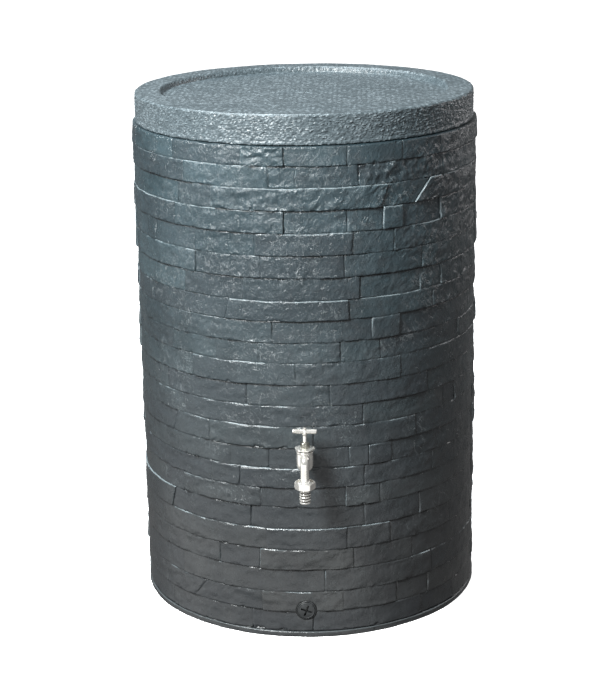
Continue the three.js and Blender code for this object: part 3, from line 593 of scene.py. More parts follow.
def scuffed(name, marks, share, clean, dusty, gloss, grain):
    """A dark polymer with dust or scuffs. share and gloss are ranges over its marks."""
    g = material_graph(name)
    scuff = g.noise(*marks)
    tint = g.mixed(g.ranged(scuff, *share), clean, dusty)
    roughness = g.ranged(scuff, 0.3, 0.7, *gloss)
    normal = g.bump(g.noise(grain, 2, 0.6), 0.0002, 0.5)
    return g.finish(Base_Color=tint, Roughness=roughness, Normal=normal)


def rubber():
    colours = (0.012, 0.012, 0.012), (0.035, 0.034, 0.032)
    return scuffed("rubber", (240, 4, 0.65), (0.45, 0.75), *colours, (0.6, 0.85), 900)


def black_plastic():
    """Glass-filled black plastic with a fine spark-eroded texture and scuffs."""
    colours = (0.026, 0.028, 0.029), (0.05, 0.053, 0.055)
    marks, share = (130, 4, 0.6, 0.5), (0.5, 0.75, 0, 0.7)
    return scuffed("black_plastic", marks, share, *colours, (0.3, 0.45), 1100)


# ---------- Tank ----------

# Grids of rows by columns for a stretch of the wall. Their marks of wear with painted highlight, of
# soiling with painted shade, and of tone go from 0 to 1.
Rows = namedtuple("Rows", "radius angle z worn grime tone")


def seeded_numbers(seed):
    """The same numbers as the CAD model draws, so that both have the same stones at the back."""
    state = seed
    while True:
        state = (state * 16807) % 2147483647
        yield state / 2147483647


def stones_of(course):
    """All stones of a course, front and back, as (start, end, relief, listed start)."""
    numbers = seeded_numbers(course * 977 + 13)

    def between(ends):
        return ends[0] + (ends[1] - ends[0]) * next(numbers)

    stones = [list(stone) for stone in COURSES[course][1]]
    names = [stone[0] for stone in stones]
    stones[0][0] -= FIRST_STONE_SHIFT * next(numbers)
    close = stones[0][0] + 360
    start = max(FRONT_END, stones[-1][0] + between(BACK_LENGTH))
    while close - start > BACK_LENGTH[0]:
        stones.append([start, between(BACK_RELIEF)])
        names.append(start)
        start += between(BACK_LENGTH)
    starts = [stone[0] + PATTERN_TURN for stone in stones]
    ends = starts[1:] + [close + PATTERN_TURN]
    return list(zip(starts, ends, [stone[1] for stone in stones], names))


def course_columns(starts):
    """Column angles that crowd at the joints, and each joint's column."""
    step = 360 / COLUMNS
    joints = sorted(((start + 180) % 360) - 180 for start in starts)
    known_columns, known_angles, centres = [], [], []
    for turn in (-360, 0, 360):
        for joint in joints:
            centre = round((joint + 180) / step)
            if turn == 0:
                centres.append(centre % COLUMNS)
            near = [(i + 1, reach / ARC) for i, reach in enumerate(JOINT_COLUMNS)]
            placed = [(-i, joint - reach) for i, reach in reversed(near)]
            placed += [(0, joint)] + [(i, joint + reach) for i, reach in near]
            first = (-CROWD, (centre - CROWD) * step - 180)
            last = (CROWD, (centre + CROWD) * step - 180)
            placed = [first] + placed + [last]
            for i, angle in placed:
                known_columns.append(centre + i + turn / step)
                known_angles.append(angle + turn)
    return np.interp(np.arange(COLUMNS), known_columns, known_angles), centres


def joint_lean(number, stones, centres, share, random):
    """How far a course's points move sideways, as its upright joints lean and wander."""
    lean = np.zeros((len(share), COLUMNS))
    here = np.arange(COLUMNS)
    order = np.argsort([(stone[0] + 180) % 360 for stone in stones])
    for centre, k in zip(centres, order):
        slant = LEANING_JOINTS.get((number, stones[k][3]), random.uniform(-1.6, 1.6))
        away = np.abs((here - centre + COLUMNS / 2) % COLUMNS - COLUMNS / 2)
        reach = 4 + 1.6 * abs(slant)
        weight = np.clip(1 - (away - 4) / reach, 0, 1)[None, :]
        wander = 0.5 * lattice_noise(share * 3 + 7 * k, share * 0 + number - 1, 40)
        lean += weight * (slant * (share - 0.5) + wander)
    return lean


def riven_faces(number, stones, random):
    """How riven each stone's face is."""
    faces = random.uniform(*RIVEN_RANGE, len(stones))
    for k, stone in enumerate(stones):
        faces[k] = RIVEN.get((number, stone[3]), faces[k])
    return faces


def face_relief(across, upright, riven, fine):
    """The relief of split slate, and how strongly its crests are lightened, as painted highlight.
    fine is the share of small flakes and creases in it."""
    slabs = fractal((across + 0.8 * upright) / 34, upright / 15 - across / 90, 11)
    face = 2.4 * riven * (terraces(slabs * 0.5 + 0.5, 5) - 0.5)
    face += 0.6 * lattice_noise(across / 45, upright / 30, 21)
    waves = fractal((across - 0.5 * upright) / 11, upright / 7, 31)
    ripples = fractal((across + 0.6 * upright) / 5.5, upright / 5, 41, 2)
    flakes = 2 * terraces(0.5 * waves + 0.5, 4) - 0.75
    creases = 0.5 - 1.7 * np.abs(ripples)
    face += riven * fine * (0.7 * flakes + 0.4 * creases)
    high = smoothstep(0.15, 1.3, 0.8 * waves + 0.6 * ripples)
    return face, np.clip(riven * fine, 0, 1.5) ** 2 * high


def edge_drop(sideways, upwards, rounding, across, upright):
    """How far a stone falls away towards its rounded, ragged and chipped edges."""
    ragged = 0.5 * lattice_noise(across / 6, upright / 6, 51)
    chips = 7 * np.clip(fractal(across / 17, upright / 17, 61) - 0.42, 0, None)
    fade = np.clip(np.minimum(sideways, upwards) / 1.2, 0, 1)
    inset = (ragged + chips) * fade
    short_x = np.clip(rounding - sideways + inset * (sideways < 6), 0, None)
    short_z = np.clip(rounding - upwards + inset * (upwards < 6), 0, None)
    reach = np.hypot(short_x, short_z)
    inside = np.sqrt(np.clip(rounding**2 - np.minimum(reach, rounding) ** 2, 0, None))
    return rounding - inside + np.clip(reach - rounding, 0, 1.5)


def fill_uprights(radius, worn, centres, random):
    """Fills a course's upright joints up to the lower of two stones, but for a groove, and
    lightens the edges that stand out: wear, and painted highlight on edges facing the light. Gives
    the joints their dark soiling, and puts painted shade beside a stone that stands out on its left."""
    grime = 0 * radius
    for centre in centres:
        near = {i: (centre + i) % COLUMNS for i in range(-FILL, FILL + 1)}
        depth = random.choice([0.4, 0.6, 0.9, 1.5])
        lower = np.minimum(radius[:, near[-FILL]], radius[:, near[FILL]])
        for i in range(1 - FILL, FILL):
            level = lower - depth * (1 - abs(i) / FILL)
            radius[:, near[i]] = np.maximum(radius[:, near[i]], level)
        radius[:, centre] = lower - depth
        ledge = radius[:, near[FILL]] - radius[:, near[-FILL]]
        grime[:, centre] = np.clip(depth * 0.7, 0.3, 1)
        for i, strength in ((1, 0.7), (2, 0.4)):
            worn[:, near[i]] += strength * smoothstep(0.6, 3, ledge)
            grime[:, near[i]] = strength * smoothstep(0.3, -1.8, ledge)
            worn[:, near[-i]] = 0.35 * strength * smoothstep(-0.6, -2.6, ledge)
    return grime


def course_grid(course, bottom, top, low_wave, high_wave):
    """The rows of one course of stones, between two level joints that wander."""
    stones = stones_of(course)
    number = course + 1
    random = np.random.default_rng(500 + course)
    starts, ends, reliefs = (np.array([stone[i] for stone in stones]) for i in range(3))
    columns, centres = course_columns(starts)
    height = top - bottom
    upward = list(EDGE_ROWS) + [height / 2] + [height - row for row in reversed(EDGE_ROWS)]
    rise = np.array(upward)[:, None]
    share = rise / height
    angle = columns[None, :] + joint_lean(number, stones, centres, share, random) / ARC

    unwrapped = starts[0] + (columns - starts[0]) % 360
    which = np.clip(np.searchsorted(starts, unwrapped, side="right") - 1, 0, len(stones) - 1)
    left = (unwrapped - starts[which])[None, :] * ARC
    right = (ends[which] - unwrapped)[None, :] * ARC
    riven = riven_faces(number, stones, random)[which][None, :]
    spans = ((-1.1, 1.1), (-1.2, 1.2), (1.0, 2.4), (0, 1))
    drawn = [random.uniform(*span, len(stones))[which][None, :] for span in spans]
    tilt, nod, rounding, tone = drawn

    across = left + 97 * which[None, :] + 613 * course
    upright = rise + 29 * which[None, :] + 0 * across
    fine = 0.4 + 0.7 * smoothstep(250, 650, bottom)
    face, peaks = face_relief(across, upright, riven, fine)
    face += reliefs[which][None, :] + STONE_LEAN * (1 - 2 * share)
    face += tilt * (left / (left + right) - 0.5) + nod * (share - 0.5)
    sideways = np.minimum(left, right) - HALF_GAP
    upwards = np.minimum(rise, height - rise) - HALF_GAP
    radius = WALL_RADIUS + face - edge_drop(sideways, upwards, rounding, across, upright)
    # Crests of the face are lightened a little: painted highlight.
    worn = 0.15 * peaks
    grime = fill_uprights(radius, worn, centres, random)
    z = bottom + rise + low_wave * (1 - share) + high_wave * share
    return Rows(radius, angle, z, worn, grime, tone + 0 * across)


def close_joint(below, above, number):
    """Fills a level joint up to the lower of its two stones, but for a shallow, uneven groove."""
    uneven = lattice_noise(ROUND * 90, ROUND * 0 + number * 2.3, 89, 90)
    depth = 0.25 + 1.1 * smoothstep(0.1, 0.8, uneven)
    lower = np.minimum(below.radius[-1 - FILL], above.radius[FILL])
    for i in range(FILL):
        level = lower - depth * (1 - i / FILL)
        below.radius[-1 - i] = np.maximum(below.radius[-1 - i], level)
        above.radius[i] = np.maximum(above.radius[i], level)
    return depth


def paint_joint_shading(below, above):
    """Lightens the ledges that stand out under a level joint, partly wear and partly painted
    highlight, and puts painted shade under a stone that overhangs the joint.
    """
    ledge = below.radius[-1 - FILL] - above.radius[FILL]
    # Top edges of ledges that stand out are lightened: painted highlight, with some wear.
    for row, strength in ((-1, 0.9), (-2, 0.5)):
        wear = strength * smoothstep(0.2, 1.8, ledge)
        below.worn[row] = np.maximum(below.worn[row], wear)
    # Painted shade on the top rows of the stone below, where the stone above stands out.
    for row, strength in ((-1, 1), (-2, 1), (-3, 0.6)):
        darkening = strength * smoothstep(-0.5, -2.2, ledge)
        below.grime[row] = np.maximum(below.grime[row], darkening)
    above.grime[0] = np.maximum(above.grime[0], smoothstep(-0.4, -2.2, ledge))


def joint_wave(number):
    """How a level joint wanders up and down round the tank."""
    cells = 48
    return 1.1 * lattice_noise(ROUND * cells, ROUND * 0 + number * 3.7, 71, cells)[None, :]


def foot_rows():
    """The plain, slightly uneven band round the foot of the tank."""
    foot = [(284.0, 0.0), (287.8, 0.2), (288.6, 0.9), (288.7, 2.0)]
    foot += [(288.7, 7.6), (288.6, 8.6), (288.0, 9.1)]
    flat = 0 * EVEN_ANGLES
    steps = 0.45 * np.floor(2 * lattice_noise(ROUND * 16, ROUND * 0, 83, 16))
    rows = []
    for number, (radius, z) in enumerate(foot):
        ripple = 0.5 * lattice_noise(ROUND * 60, ROUND * 0 + number * 0.4, 81, 60)
        # The foot's top edge is lightened: painted highlight, with some wear.
        worn = 0.2 * smoothstep(8, 8.8, z)
        radii = radius + (ripple + steps)[None, :]
        rows.append(Rows(radii, EVEN_ANGLES, z + flat, worn + flat, flat, 0.5 + flat))
    return rows


def wall_rows():
    """The outside of the tank from the foot to the shoulder, with one row in the middle of
    each level joint."""
    edges = [course[0] for course in COURSES]
    tops = [SHOULDER_Z] + edges[:-1]
    waves = [joint_wave(i) for i in range(len(COURSES) + 1)]
    waves[0] = waves[0] * 0
    rows = foot_rows()
    for i in reversed(range(len(COURSES))):
        below, above = rows[-1], course_grid(i, edges[i], tops[i], waves[i + 1], waves[i])
        number = len(COURSES) - 1 - i
        depth, overhang = 1, 2
        if number > 0:
            depth = close_joint(below, above, number)
            paint_joint_shading(below, above)
            overhang = above.radius[FILL] - below.radius[-1 - FILL]
        floor = np.minimum(below.radius[-1:], above.radius[:1]) - 0.15
        angle = (below.angle[-1:] + above.angle[:1]) / 2
        z = (below.z[-1:] + above.z[:1]) / 2
        # The joint's own row is darkened: soiling by the joint's depth, and painted shade under a
        # stone above that stands out.
        darkening = np.clip(0.5 * (depth - 0.2) + smoothstep(0.2, 1.8, overhang) + 0 * floor, 0, 1)
        rows.append(Rows(floor, angle, z, 0 * floor, darkening, above.tone[:1]))
        rows.append(above)
    return rows


def inner_rows():
    """Plain rings from the shoulder over the neck and down the inside to the floor."""
    neck = [
        (WALL_RADIUS - 1, SHOULDER_Z),
        (NECK_OUTER + 1, SHOULDER_Z),
        (NECK_OUTER, SHOULDER_Z + 1),
        (NECK_OUTER, NECK_TOP_Z - 1.2),
        (NECK_OUTER - 1.2, NECK_TOP_Z),
        (NECK_INNER + 1.2, NECK_TOP_Z),
        (NECK_INNER, NECK_TOP_Z - 1.2),
        (NECK_INNER, SHOULDER_Z - 2),
        (INNER_RADIUS, SHOULDER_Z - 12),
    ]
    for i in range(1, 8):
        neck.append((INNER_RADIUS, SHOULDER_Z - 12 - (SHOULDER_Z - 32 - FLOOR_Z) * i / 8))
    corner = [(INNER_RADIUS, FLOOR_Z + 8), (INNER_RADIUS - 2.4, FLOOR_Z + 2.4)]
    return neck + corner + [(INNER_RADIUS - 8, FLOOR_Z)]


def wall_opening(pad, pad_y, hole, x, z):
    """A flat pad outside, a hole through the wall and a flat pad inside, as one cutter."""
    inside, outside = 262, 320
    profile = [(0, inside), (INNER_PAD_RADIUS, inside), (INNER_PAD_RADIUS, INNER_PAD_REACH)]
    profile += [(hole, INNER_PAD_REACH), (hole, pad_y), (pad, pad_y)]
    profile += [(pad, outside), (0, outside)]
    return shifted(revolve(profile, 96), (x, 0, z), outwards=True)


def foot_groove(inner, outer):
    """A ring that is cut 4 mm deep into the underside."""
    return revolve([(inner, -1), (outer, -1), (outer, 4), (inner, 4)], 144)


def plain_row(radius, z):
    """A row without wear, soiling, painted highlight or painted shade, in a medium tone."""
    return Rows(radius + 0 * EVEN_ANGLES, EVEN_ANGLES, z, 0, 0, 0.5)


def tank_mesh():
    rows = [plain_row(radius, 0) for radius in UNDERSIDE_RINGS]
    rows += wall_rows()
    for radius, z in inner_rows():
        ripple = 0.25 * lattice_noise(ROUND * 40, ROUND * 0 + z / 60, 91, 40)
        rows.append(plain_row(radius + ripple[None, :], z))
    rows += [plain_row(radius, FLOOR_Z) for radius in FLOOR_RINGS]
    shapes = [row.radius.shape for row in rows]
    fitted = [map(np.broadcast_to, values, shapes) for values in zip(*rows)]
    whole = Rows(*(np.concatenate(list(values)) for values in fitted))
    points = around(whole.radius, whole.angle, whole.z)
    middles = (0, 0, 0), (0, 0, FLOOR_Z)
    mesh = mesh_of("tank", *capped(points, len(whole.radius), COLUMNS, *middles))
    for name in ("worn", "grime", "tone"):
        set_attribute(mesh, name, np.append(getattr(whole, name).ravel(), [0, 0]))
    return mesh


def make_tank(material):
    openings = [
        wall_opening(15, TAP_PAD_REACH, TAP_HOLE, TAP_X, TAP_Z),
        wall_opening(17.6, DRAIN_PAD_REACH, DRAIN_HOLE, 0, DRAIN_Z),
        foot_groove(110, 132),
        foot_groove(205, 227),
    ]
    mesh = cut(tank_mesh(), mesh_of("openings", *joined(openings)))
    piece("stone_tank", mesh, material, "tank", "slate_plastic", ["barrel_shell"], crease=70)


# ---------- Lid ----------


def lid_profile():
    """Radius and height of the lid's section: under the tray from the middle outwards, then
    (the shown part) round the lower edge, up the skirt, over the lip and into the tray."""
    low, high = (corner.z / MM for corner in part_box("lid"))
    under = high - TRAY_DEPTH - LID_WALL
    flat = TRAY_RADIUS - TRAY_SLOPE
    ceiling = high - LID_WALL
    hidden = [(8, under), (120, under), (flat - 2, under), (TRAY_RADIUS - 1, ceiling)]
    hidden += [(LID_INSIDE - 0.8, ceiling), (LID_INSIDE, ceiling - 0.8), (LID_INSIDE, low + 8)]
    shown = [(LID_INSIDE + 0.2, low), (281.4, low), (282.3, low + 0.6), (282.5, low + 2)]
    shown += [(282.3, low + 3.8), (281.9, low + 5.0), (LID_TOP_RADIUS, low + LID_BEAD)]
    skirt_height = high - low - LID_BEAD - LID_LIP
    for i in range(1, 32):
        shown.append((LID_TOP_RADIUS, low + LID_BEAD + skirt_height * i / 32))
    for i in range(9):
        turn = math.radians(90 * i / 8)
        radius = LID_TOP_RADIUS - LID_LIP * (1 - math.cos(turn))
        shown.append((radius, high - LID_LIP * (1 - math.sin(turn))))
    rim_width = LID_TOP_RADIUS - LID_LIP - TRAY_RADIUS
    for i in range(1, 20):
        shown.append((LID_TOP_RADIUS - LID_LIP - rim_width * i / 20, high))
    for i in range(9):
        shown.append((TRAY_RADIUS - TRAY_SLOPE * i / 8, high - TRAY_DEPTH * smoothstep(0, 1, i / 8)))
    for i in range(1, TRAY_RINGS):
        shown.append((flat * (1 - i / TRAY_RINGS), high - TRAY_DEPTH))
    return hidden, shown


def lid_mesh():
    """The lid with a hammered grain on its skirt and a leathery one on top. path is the
    distance along the shown part of the section."""
    hidden, shown = lid_profile()
    profile = np.array(shown)
    turn = ROUND[None, :]
    radius, height = profile[:, :1], profile[:, 1:]
    x, y = radius * np.sin(2 * np.pi * turn), radius * np.cos(2 * np.pi * turn)
    along = np.gradient(profile, axis=0)
    steps = np.linalg.norm(along, axis=1)
    normal = np.stack([along[:, 1], -along[:, 0]], -1) / steps[:, None]
    path = np.cumsum(steps)[:, None]

    hammered = np.abs(lattice_noise(turn * 320 - path / 9, path / 3.3, 101, 320))
    hammered += 0.7 * np.abs(lattice_noise(turn * 460 - path / 14, path / 2.2, 103, 460))
    leathery = np.abs(fractal(x / 8, y / 8, 105, 2))
    on_tray = smoothstep(TRAY_RADIUS - 3, TRAY_RADIUS - TRAY_SLOPE, radius)
    top = profile[:, 1].max()
    crinkled = smoothstep(top - 0.5, top - LID_LIP, height) * (1 - on_tray)
    smoother = 1 - crinkled
    grain = 2.1 * (hammered - 0.4) * crinkled + 0.35 * (leathery - 0.3) * smoother
    push = smoothstep(0, 9, path) * (grain + 0.4 * lattice_noise(turn * 30, path / 40, 107, 30))
    points = [around(np.full_like(turn, r), turn * 360, z) for r, z in hidden]
    points.append(around(radius + push * normal[:, :1], turn * 360, height + push * normal[:, 1:]))
    rows = len(hidden) + len(shown)
    middles = (0, 0, hidden[0][1]), (0, 0, shown[-1][1])
    mesh = mesh_of("lid", *capped(np.concatenate(points), rows, COLUMNS, *middles))
    # How high each point stands in its grain; the lid's material paints shade in the pits and
    # highlight on the peaks from it.
    peaks = smoothstep(0.1, 1.0, hammered) * crinkled + smoothstep(0, 0.9, leathery) * smoother
    plain = np.full(len(hidden) * COLUMNS, 0.5)
    for name, values in (("grain", peaks), ("crinkled", crinkled + 0 * peaks)):
        set_attribute(mesh, name, np.concatenate([plain, values.ravel(), [0.5, 0.5]]))
    return mesh


def make_lid(material):
    piece("barrel_lid", lid_mesh(), material, "lid", "lid_plastic", ["lid"], crease=50)


# ---------- Tap: heights are from the inlet's centre line ----------


def at_body(name, shape):
    """A mesh whose Z axis is the spindle's."""
    return mesh_of(name, *shifted(shape, (TAP_X, TAP_Y, TAP_Z)))


def at_spout(name, shape):
    """A mesh whose Z axis is the spout's."""
    return mesh_of(name, *shifted(shape, (TAP_X, TAP_Y - SPOUT_REACH, TAP_Z)))


def swept(centres, radius):
    """A round bar along points in the YZ plane, with flat ends."""
    sides = 40
    path = np.array(centres, float)
    along = np.gradient(path, axis=0)
    along /= np.linalg.norm(along, axis=1)[:, None]
    turn = np.radians(np.arange(sides) * 360 / sides)
    across, over = radius * np.cos(turn), radius * np.sin(turn)
    rings = []
    for (y, z), (dy, dz) in zip(path, along):
        rings.append(np.stack([across, y - dz * over, z + dy * over], -1))
    return capped(np.concatenate(rings), len(path), sides, (0, *path[0]), (0, *path[-1]))


def spout_path():
    """From inside the body, round the bend, and down to the collar."""
    points = [(0, SPOUT_AXIS_Z), (-6, SPOUT_AXIS_Z)]
    for i in range(17):
        turn = math.radians(90 * i / 16)
        y = -(SPOUT_REACH - SPOUT_BEND) - SPOUT_BEND * math.sin(turn)
        points.append((y, SPOUT_AXIS_Z - SPOUT_BEND * (1 - math.cos(turn))))
    for z in np.linspace(SPOUT_AXIS_Z - SPOUT_BEND - 3, COLLAR_BOTTOM + 2, 8):
        points.append((-SPOUT_REACH, z))
    return points


def recast(mesh, voxel, relax):
    """Melts overlapping solids into one casting with soft fillets."""
    made = object_of("cast", mesh)
    remesh = made.modifiers.new("melt", "REMESH")
    remesh.mode = "VOXEL"
    remesh.voxel_size = voxel * MM
    smooth = made.modifiers.new("relax", "SMOOTH")
    smooth.iterations = relax
    bpy.context.view_layer.update()
    return bare(made)


def make_tap_body(material):
    """The casting: an egg-shaped chamber, the inlet with its flange, and the bent spout."""
    chamber = [(0, -13), (4.5, -13), (8.2, -12), (10.9, -9.6), (12.6, -6.2), (13.4, -2)]
    chamber += [(13.5, 2), (13.5, 17.5), (13.9, 18.5), (14.1, 20), (13.7, 21.4), (0, 21.4)]
    inlet = [(0, 0), (8.4, 0), (8.4, 28), (9.4, 29.6), (12.6, 30.4)]
    inlet += [(13, 31), (13, 32.6), (12.6, 33.2), (0, 33.2)]
    points, *faces = revolve(inlet, 72)
    to_wall = (points[:, [0, 2, 1]] * np.array([-1, 1, 1]), *faces)
    collar = [(0, COLLAR_BOTTOM), (12.4, COLLAR_BOTTOM), (12.4, -26), (9, -24.4)]
    collar += [(7.3, -22.6), (0, -22)]
    low_end = shifted(revolve(collar, 72), (0, -SPOUT_REACH, 0))
    bend = swept(spout_path(), SPOUT_RADIUS)
    solids = [revolve(rounded(chamber, 0.8), 96), to_wall, bend, low_end]
    cast = recast(at_body("cast", joined(solids)), 0.55, 6)
    room = [(0, -8), (6.8, -8), (6.8, 6.2), (5, 6.2), (5, 7.4), (10, 7.4), (10, 23), (0, 23)]
    outlet = swept([(-SPOUT_REACH, z) for z in np.linspace(-33, -2, 6)], SPOUT_BORE)
    hollow = cut(cast, at_body("bores", joined([revolve(room, 64), outlet])))
    piece("tap_casting", hollow, material, "tank", "chrome", ["tap_body"], crease=50)


def make_tap_threads(material):
    """The spout's thread in the union nut, and the inlet's through the wall."""
    spout = thread(12.95, COLLAR_BOTTOM, -25.2, 1.8, 0.55, bore=12.0)
    inlet = thread(10.3, -25.5, 2.6, 1.8, 0.6, bore=5.6)
    screwed = [
        shifted(spout, (TAP_X, TAP_Y - SPOUT_REACH, TAP_Z)),
        shifted(inlet, (TAP_X, -TAP_PAD_REACH, TAP_Z), outwards=True),
    ]
    mesh = mesh_of("tap_threads", *joined(screwed))
    piece("tap_threads", mesh, material, "tank", "chrome")


def make_bonnet(material):
    """The hexagonal flange over the chamber, with the neck that the spindle turns in."""
    bonnet = [(5.6, 18.2), (9.6, 18.2), (9.6, 22.9), (14.4, 22.9), (17.1, 24.3), (17.1, 25.0)]
    bonnet += [(15.6, 25.7), (7.2, 25.8), (6.1, 26.4), (5.9, 28.1)]
    bonnet += [(3.5, 28.1), (3.5, 24.0), (5.6, 24.0)]
    shape = revolve(rounded(bonnet, 0.35, 3), 144, hexagon(34, 0.5), BONNET_TURN)
    mesh = at_body("bonnet", shape)
    piece("bonnet_hexagon", mesh, material, "tank", "chrome", ["bonnet"], 30)


def make_gland_nut(material):
    gland = [(6.2, 26.0), (7.2, 26.0), (7.8, 26.7), (7.8, 33.9)]
    gland += [(6.0, 35.6), (3.6, 35.6), (3.6, 33.2), (6.2, 33.2)]
    shape = revolve(rounded(gland, 0.3, 3), 120, hexagon(15.4, 0.2), BONNET_TURN)
    mesh = at_body("gland", shape)
    piece("gland_hexagon", mesh, material, "tank", "chrome", ["gland_nut"], 30)


def make_spindle(material):
    """The stem, drilled from below for the jumper valve's pin."""
    stem = [(0, 13.3), (5, 13.3), (5, 17.4), (3.1, 18), (3.1, 34.6), (2.95, 35.2), (3.1, 36)]
    stem += [(3.1, 46.6), (3.5, 47.8), (4.0, 48.4), (4.0, 49.4), (0, 49.4)]
    drilling = revolve([(0, 12), (2.4, 12), (2.4, 18.9), (0, 18.9)], 32)
    solid = at_body("stem", revolve(rounded(stem, 0.3), 72))
    mesh = cut(solid, at_body("drilling", drilling))
    piece("spindle_stem", mesh, material, "handle", "chrome", ["spindle"], 35)


def make_tbar(material):
    """A bar with swollen ends, melted together with the boss that the spindle goes into."""
    bar = [(0, -TBAR_HALF - 0.2), (2.8, -TBAR_HALF), (3.7, -TBAR_HALF + 0.7)]
    bar += [(3.95, -TBAR_HALF + 1.6), (3.8, -6), (3.9, -5)]
    bar += [(r, -z) for r, z in reversed(bar)]
    points, *faces = revolve(rounded(bar, 0.6), 56)
    across = (points[:, [2, 0, 1]], *faces)
    section = [(0, -3.7), (3.6, -3.7), (4.1, -3.2), (4.1, 3.1), (3.6, 3.7), (0, 3.7)]
    boss = revolve(rounded(section, 0.3), 56)
    mesh = recast(mesh_of("tbar", *joined([across, boss])), 0.32, 3)
    turn = Matrix.Rotation(math.radians(TBAR_TURN), 4, "Z")
    mesh.transform(Matrix.Translation(Vector((TAP_X, TAP_Y, TAP_Z + TBAR_Z)) * MM) @ turn)
    piece("tbar", mesh, material, "handle", "chrome", ["tbar_handle"], 60)


def make_handle_screw(material):
    dome = [(0, 57.4), (2.9, 57.4), (3.0, 57.9), (2.7, 58.7), (2.0, 59.4), (1.0, 59.75), (0, 59.8)]
    slot = shifted(block(5.6, 0.7, 1.2), (0, 0, 59.5))
    solid = at_body("screw", revolve(rounded(dome, 0.2), 48))
    mesh = cut(solid, at_body("slot", slot))
    piece("dome_screw", mesh, material, "handle", "chrome", ["handle_screw"], 35)


def make_union_nut(material):
    nut = [(9.4, -37.8), (11.2, -37.8), (16.4, -34.4), (17.3, -33.2), (17.3, -25.2)]
    nut += [(15.7, -24.2), (13.3, -24.2), (13.3, -31.5), (11.6, -31.5), (11.6, -35.7), (9.4, -35.7)]
    mesh = at_spout("union", revolve(rounded(nut, 0.35, 3), 144, hexagon(34.6, 0.4)))
    piece("union_hexagon", mesh, material, "nut", "chrome", ["union_nut"], 30)


def make_hose_tail(material):
    """The nozzle: four ribs with painted shade and some soiling in the grooves between them, and the
    flange that the nut holds.
    """
    tail = [(TAIL_BORE, -60), (8.0, -60), (8.9, -59.2), (9.1, -58), (8.8, -57)]
    for i in range(4):
        low = -57 + RIB_PITCH * i
        tail += [(6.3, low + 0.4), (6.3, low + 2.0), (8.8, low + 2.4)]
        tail += [(9.2, low + 3.3), (8.9, low + 4.6)]
    tail += [(7.8, RIBS_TOP), (7.8, -35.4), (11.2, -35.4), (11.2, -33.4), (TAIL_BORE, -33.4)]
    ribbed = revolve(rounded(tail, 0.35, 3), 72)
    mesh = at_spout("tail", ribbed)
    x, y, z = ribbed[0].T
    # The grooves between the ribs are marked dark: painted shade, with some soiling.
    set_attribute(mesh, "grime", smoothstep(8.4, 6.8, np.hypot(x, y)) * (z < RIBS_TOP))
    piece("ribbed_tail", mesh, material, "tail", "chrome", ["hose_tail"], 35)


def backnut(name, hole, corners, face, place, material, slot, node):
    """A hexagonal nut inside the tank, 7 mm thick. face is its side at the wall."""
    wide = corners / 2
    profile = [(hole, face - 7), (wide - 1.4, face - 7), (wide + 0.2, face - 6)]
    profile += [(wide + 0.2, face - 1), (wide - 1.4, face), (hole, face)]
    shape = revolve(rounded(profile, 0.4, 3), 120, hexagon(corners, 0.5))
    mesh = mesh_of(name, *shifted(shape, place, outwards=True))
    piece(name, mesh, material, "tank", slot, [node], 30)


# ---------- Drain: heights are outwards from the pad on the wall ----------


def at_drain(name, shape):
    return mesh_of(name, *shifted(shape, (0, -DRAIN_PAD_REACH, DRAIN_Z), outwards=True))


def make_bush(material):
    """The flanged ring and its thread through the wall."""
    flange = [(9.4, 1.2), (12.9, 1.2), (12.9, 1.5), (16.5, 1.5), (16.5, 4.0)]
    flange += [(15.6, 5), (14.9, 5), (14.7, 2.6), (9.4, 2.6)]
    ring = revolve(rounded(flange, 0.25, 3), 120)
    mesh = at_drain("bush", joined([ring, thread(12.9, -18.5, 1.25, 2.2, 0.8, bore=9.4)]))
    piece("bush", mesh, material, "tank", "black_plastic", ["drain_bush"], 35)


def make_plug(material):
    """The screwed plug with a cross-shaped recess."""
    head = [(0, -0.5), (9, -0.5), (9, 4.1), (14.2, 4.1), (14.2, 5.2), (13.6, 6.1)]
    head += [(12.6, 6.3), (11.8, 5.9), (11.0, 6.2), (6, 6.7), (0, 6.8)]
    solid = at_drain("plug", revolve(rounded(head, 0.3, 3), 120))
    mesh = cut(solid, at_drain("stem", thread(9, -8, 0, 2.2, 0.7)), "UNION")
    for number in range(2):
        arm = turned_about_z(block(CROSS_LENGTH, CROSS_WIDTH, 12), CROSS_TURN + 90 * number)
        height = 6.5 + CROSS_STEP * number
        mesh = cut(mesh, at_drain("arm", shifted(arm, (0, 0, height))))
    piece("plug", mesh, material, "plug", "black_plastic", ["drain_plug"], 35)


# ---------- Seals and valve ----------


def finish_carried_over(names, material):
    """A better finish for CAD nodes whose shape stays."""
    for name in names:
        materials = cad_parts[name].data.materials
        materials.clear()
        materials.append(material)


# ---------- Studio ----------

CAMERA_PLACE = (0.0950, -3.1110, 1.3378)
CAMERA_LENS = 96.1
# Brightness of what the barrel reflects, and the side on which the white floor lies.
ROOM = 0.19
CEILING = 0.5
WHITE_FLOOR = 0.85
WHITE_FLOOR_SIDE = (-0.57, -0.82, 0)
FLOOR_RADIUS = 60000
FLOOR_GLOW = 0.93


